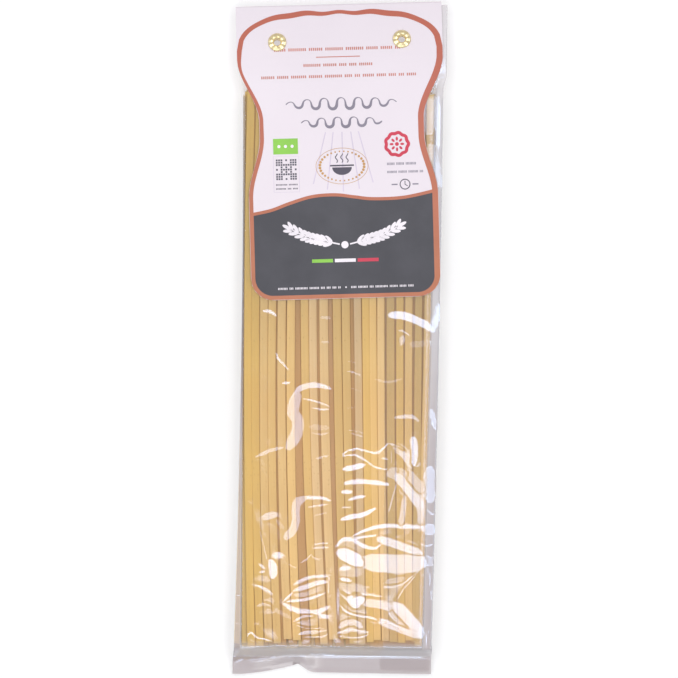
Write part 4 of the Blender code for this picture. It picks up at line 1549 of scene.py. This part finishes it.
# The border, the panel with its wavy line, and the fine strokes under the fold
def printField(sheet, draw):
    path, widths = borderPath()
    addLine(sheet, "copper", path, widths, closed=True)
    addLine(sheet, "copper", smoothCourse(printing["wave"]), printing["waveWidth"])
    sheet["bands"]["charcoal"].append(panelEdges())
    addStrokes(sheet, draw, "copperFine", "fineStrokes")
    addBoxes(sheet, "copperFine", marks["rule"])


# Two rows of flowing ribbon in the middle, and the rays under them
def printRibbons(sheet):
    for left, right, down, swing, waves in marks["ribbons"]:
        shares = np.linspace(0.0, 1.0, int(26 * waves))
        fade = np.sin(math.pi * shares) ** 0.4
        phase = math.tau * waves * shares
        across = mix(left, right, shares) - 0.5 * np.sin(2 * phase) * fade
        ribbon = np.stack([across, down - swing * np.sin(phase) * fade], axis=1)
        widths = 0.35 + 1.15 * fade * np.abs(np.cos(phase / 2 + 0.6)) ** 1.5
        addLine(sheet, "grey", ribbon, widths)
    for at in marks["rays"]:
        ray = []
        for share in np.linspace(0.0, 1.0, 12):
            down = mix(*marks["rayDowns"], share) - 0.02 * at * at * share
            ray.append((at * (0.55 + 0.45 * share), down))
        addLine(sheet, "lavender", ray, 0.5)


# A green box with three dots, and under it a frame of small squares
def printLeft(sheet, draw):
    addBoxes(sheet, "green", marks["box"])
    across, down, pitch, size = marks["boxDots"]
    sheet["rounds"]["white"] += [stamp(across + pitch * k, down, 0.0, size, size) for k in (-1, 0, 1)]
    left, top, right, bottom = marks["frame"]
    outline = [(left, top), (right, top), (right, bottom), (left, bottom)]
    addLine(sheet, "lavender", outline, 0.22, closed=True)
    across, down, pitch, size = marks["squares"]
    middle = marks["squareRow"] // 2
    for row in range(marks["squareRow"]):
        for column in range(marks["squareRow"]):
            if (row - middle) ** 2 + (column - middle) ** 2 in marks["squareRings"]:
                square = stamp(across + pitch * column, down + pitch * row, 0.0, size, size)
                sheet["strokes"]["dark"].append(square)
    addStrokes(sheet, draw, "dark", "frameStrokes")


# A dotted oval round a steaming bowl
def printOval(sheet):
    across, down = marks["oval"][:2]
    sheet["bands"]["gold"].append(ringEdges(*marks["oval"], 0.22))
    count, halfWide, halfTall = marks["ovalDots"]
    for k in range(count):
        angle = math.tau * (k + 0.5) / count
        dot = 0.75 + 0.6 * math.cos(angle) ** 2
        x, y = across + halfWide * math.cos(angle), down + halfTall * math.sin(angle)
        sheet["rounds"]["gold"].append(stamp(x, y, 0.0, dot, dot))
    across, down, halfWide, halfTall = marks["bowl"]
    turns = np.linspace(0.05, math.pi - 0.05, 24)
    bowl = [(across - halfWide * math.cos(turn), down + halfTall * math.sin(turn)) for turn in turns]
    sheet["bands"]["dark"].append((bowl, [(x, down) for x, _ in bowl], False))
    addBoxes(sheet, "dark", marks["bowlRim"])
    for at in marks["steam"]:
        steam = [(at + 0.5 * math.sin(1.6 * k), marks["steamFoot"] - 0.85 * k) for k in range(6)]
        addLine(sheet, "dark", smoothCourse(steam), 0.42)


# A scalloped round mark, two fine lines and a clock
def printRight(sheet, draw):
    across, down = marks["rosette"][:2]
    sheet["bands"]["red"].append(ringEdges(*marks["rosette"], 1.5, lobes=9, lobeDepth=0.05))
    sheet["bands"]["red"].append(discEdges(*marks["rosetteDot"], steps=16))
    count, out, long, wide = marks["petals"]
    for k in range(count):
        angle = math.tau * k / count
        x, y = across + out * math.cos(angle), down + out * math.sin(angle)
        sheet["rounds"]["red"].append(stamp(x, y, -math.degrees(angle), long, wide))
    addStrokes(sheet, draw, "grey", "sideStrokes")
    sheet["bands"]["dark"].append(ringEdges(*marks["clock"], 0.45))
    addLine(sheet, "dark", marks["hands"], 0.38)
    addBoxes(sheet, "grey", *marks["dashes"])


# Two white ears laid end to end on the panel, over a short bar in three colours and a line of strokes
def printPanel(sheet, draw):
    ear = marks["ear"]
    kernels = wheatEar(ear, *marks["earKernels"])
    sheet["rounds"]["white"] += kernels + mirrored(kernels)
    for stem in (ear, [(-across, down) for across, down in ear]):
        addLine(sheet, "white", smoothCourse(stem), 0.7)
    sheet["bands"]["white"].append(discEdges(*marks["earKnot"], steps=20))
    wide, top, bottom = marks["barSize"]
    for ink, left in marks["bars"]:
        addBoxes(sheet, ink, (left, top, left + wide, bottom))
    addStrokes(sheet, draw, "white", "footStrokes")
    across, down, size = marks["footDot"]
    sheet["rounds"]["white"].append(stamp(across, down, 0.0, size, size))


def makePrint():
    draw = random.Random(printing["seed"])
    sheet = {kind: {ink: [] for ink in inks} for kind in ("bands", "strokes", "rounds")}
    printField(sheet, draw)
    printRibbons(sheet)
    printLeft(sheet, draw)
    printOval(sheet)
    printRight(sheet, draw)
    printPanel(sheet, draw)
    for ink in inks:
        if sheet["bands"][ink]:
            bandPiece(ink + "Fields", sheet["bands"][ink], ink)
        if sheet["strokes"][ink]:
            stampPiece(ink + "Strokes", sheet["strokes"][ink], ink, False)
        if sheet["rounds"][ink]:
            stampPiece(ink + "Kernels", sheet["rounds"][ink], ink, True)
    counts = [sum(map(len, kind.values())) for kind in sheet.values()]
    print("print:", counts[0], "bands,", counts[1], "strokes and", counts[2], "round marks")


# Studio

studio = {
    "cameraHeight": 6000.0,
    "cameraTurn": 0.9,
    "aim": (1.3, -0.5, 22.5),
    "frameWidth": 317.6,
    "sensor": 36.0,
    "farthest": 50.0,                    # in metres
    "ringInner": 6.0,                    # the ring light, as degrees from straight up
    "ringOuter": 18.0,
    "ringSides": 48,
    "ringPower": 11.5,
    "ringColour": (0.95, 0.975, 1.0),
    "worldPower": 0.46,
    "worldColour": (1.0, 0.99, 0.995),
    "floorSize": 3000.0,
    "floorColour": (0.66, 0.655, 0.66),
    "floorGlow": 0.36,                   # so that the floor stays as white as in the photograph
    "filmLayers": 40,                    # how many clear layers a ray may pass
}


def makeCamera():
    data = bpy.data.cameras.new("shelfCamera")
    data.sensor_width = studio["sensor"]
    data.lens = studio["sensor"] * studio["cameraHeight"] / studio["frameWidth"]
    data.clip_end = studio["farthest"]
    camera = bpy.data.objects.new("shelfCamera", data)
    x, y, z = studio["aim"]
    camera.location = (x * mm, y * mm, (z + studio["cameraHeight"]) * mm)
    camera.rotation_euler = (0.0, 0.0, math.radians(studio["cameraTurn"]))
    bpy.context.scene.collection.objects.link(camera)
    bpy.context.scene.camera = camera
    print("camera:", studio["cameraHeight"] * mm, "m up, lens", round(data.lens), "mm")


def stagePiece(name, points, faces, material, shown=True):
    mesh = bpy.data.meshes.new(name)
    mesh.from_pydata(points, [], faces)
    mesh.materials.append(material)
    piece = bpy.data.objects.new(name, mesh)
    piece.visible_camera = shown
    bpy.context.scene.collection.objects.link(piece)


def makeFloor():
    material, tree, output = newMaterial("paleFloor")
    setSurface(tree, output, {
        "Base Color": (*studio["floorColour"], 1.0), "Roughness": 1.0, "Specular IOR Level": 0.0,
        "Emission Color": (1.0, 1.0, 1.0, 1.0), "Emission Strength": studio["floorGlow"],
    })
    half = studio["floorSize"] / 2 * mm
    corners = [(-half, -half, 0), (half, -half, 0), (half, half, 0), (-half, half, 0)]
    stagePiece("floor", corners, [(0, 1, 2, 3)], material)
    print("floor:", studio["floorSize"] * mm, "m wide")


# A soft ring round the camera, so that only film that tilts a little throws its light back
def makeRingLight():
    material, tree, output = newMaterial("ringLight")
    height = studio["cameraHeight"] * mm
    inner, outer = (height * math.tan(math.radians(studio[key])) for key in ("ringInner", "ringOuter"))
    inputs = {0: objectPlace(tree), 1: (1.0, 1.0, 0.0)}
    level = addNode(tree, "ShaderNodeVectorMath", inputs, operation="MULTIPLY").outputs[0]
    out = addNode(tree, "ShaderNodeVectorMath", {0: level}, operation="LENGTH").outputs["Value"]
    across = ranged(tree, out, inner, outer, -1.0, 1.0)
    soft = calc(tree, "SUBTRACT", 1.0, calc(tree, "MULTIPLY", across, across), clamp=True)
    power = calc(tree, "MULTIPLY", soft, studio["ringPower"])
    setSurface(tree, output, {"Color": (*studio["ringColour"], 1.0), "Strength": power}, "ShaderNodeEmission")
    sides = studio["ringSides"]
    points, faces = [], []
    for k in range(sides):
        angle = math.tau * k / sides
        points += [(radius * math.cos(angle), radius * math.sin(angle), height) for radius in (inner, outer)]
        a, b = 2 * k, 2 * ((k + 1) % sides)
        faces.append((a, b, b + 1, a + 1))
    stagePiece("ringLight", points, faces, material, shown=False)
    print("ring light:", round(inner, 2), "to", round(outer, 2), "m from its middle")


def makeWorld():
    world = bpy.data.worlds.new("whiteStudio")
    world.use_nodes = True
    background = world.node_tree.nodes["Background"]
    background.inputs["Color"].default_value = (*studio["worldColour"], 1.0)
    background.inputs["Strength"].default_value = studio["worldPower"]
    bpy.context.scene.world = world
    bpy.context.scene.view_settings.view_transform = "Standard"
    bpy.context.scene.cycles.transparent_max_bounces = studio["filmLayers"]
    print("world: power", studio["worldPower"])


def dressCadNodes():
    cardFinish, brassFinish = cardMaterial(), brassMaterial()
    finishes = {"header_card": cardFinish, "eyelet_left": brassFinish, "eyelet_right": brassFinish}
    for name, finish in finishes.items():
        for slot in frame["nodes"][name].material_slots:
            slot.material = finish
    print("dressed:", ", ".join(finishes))


makeCamera()
makeFloor()
makeRingLight()
makeWorld()
dressCadNodes()
makePrint()
makeStrands(pastaMaterial())
makeFilm(filmMaterial())
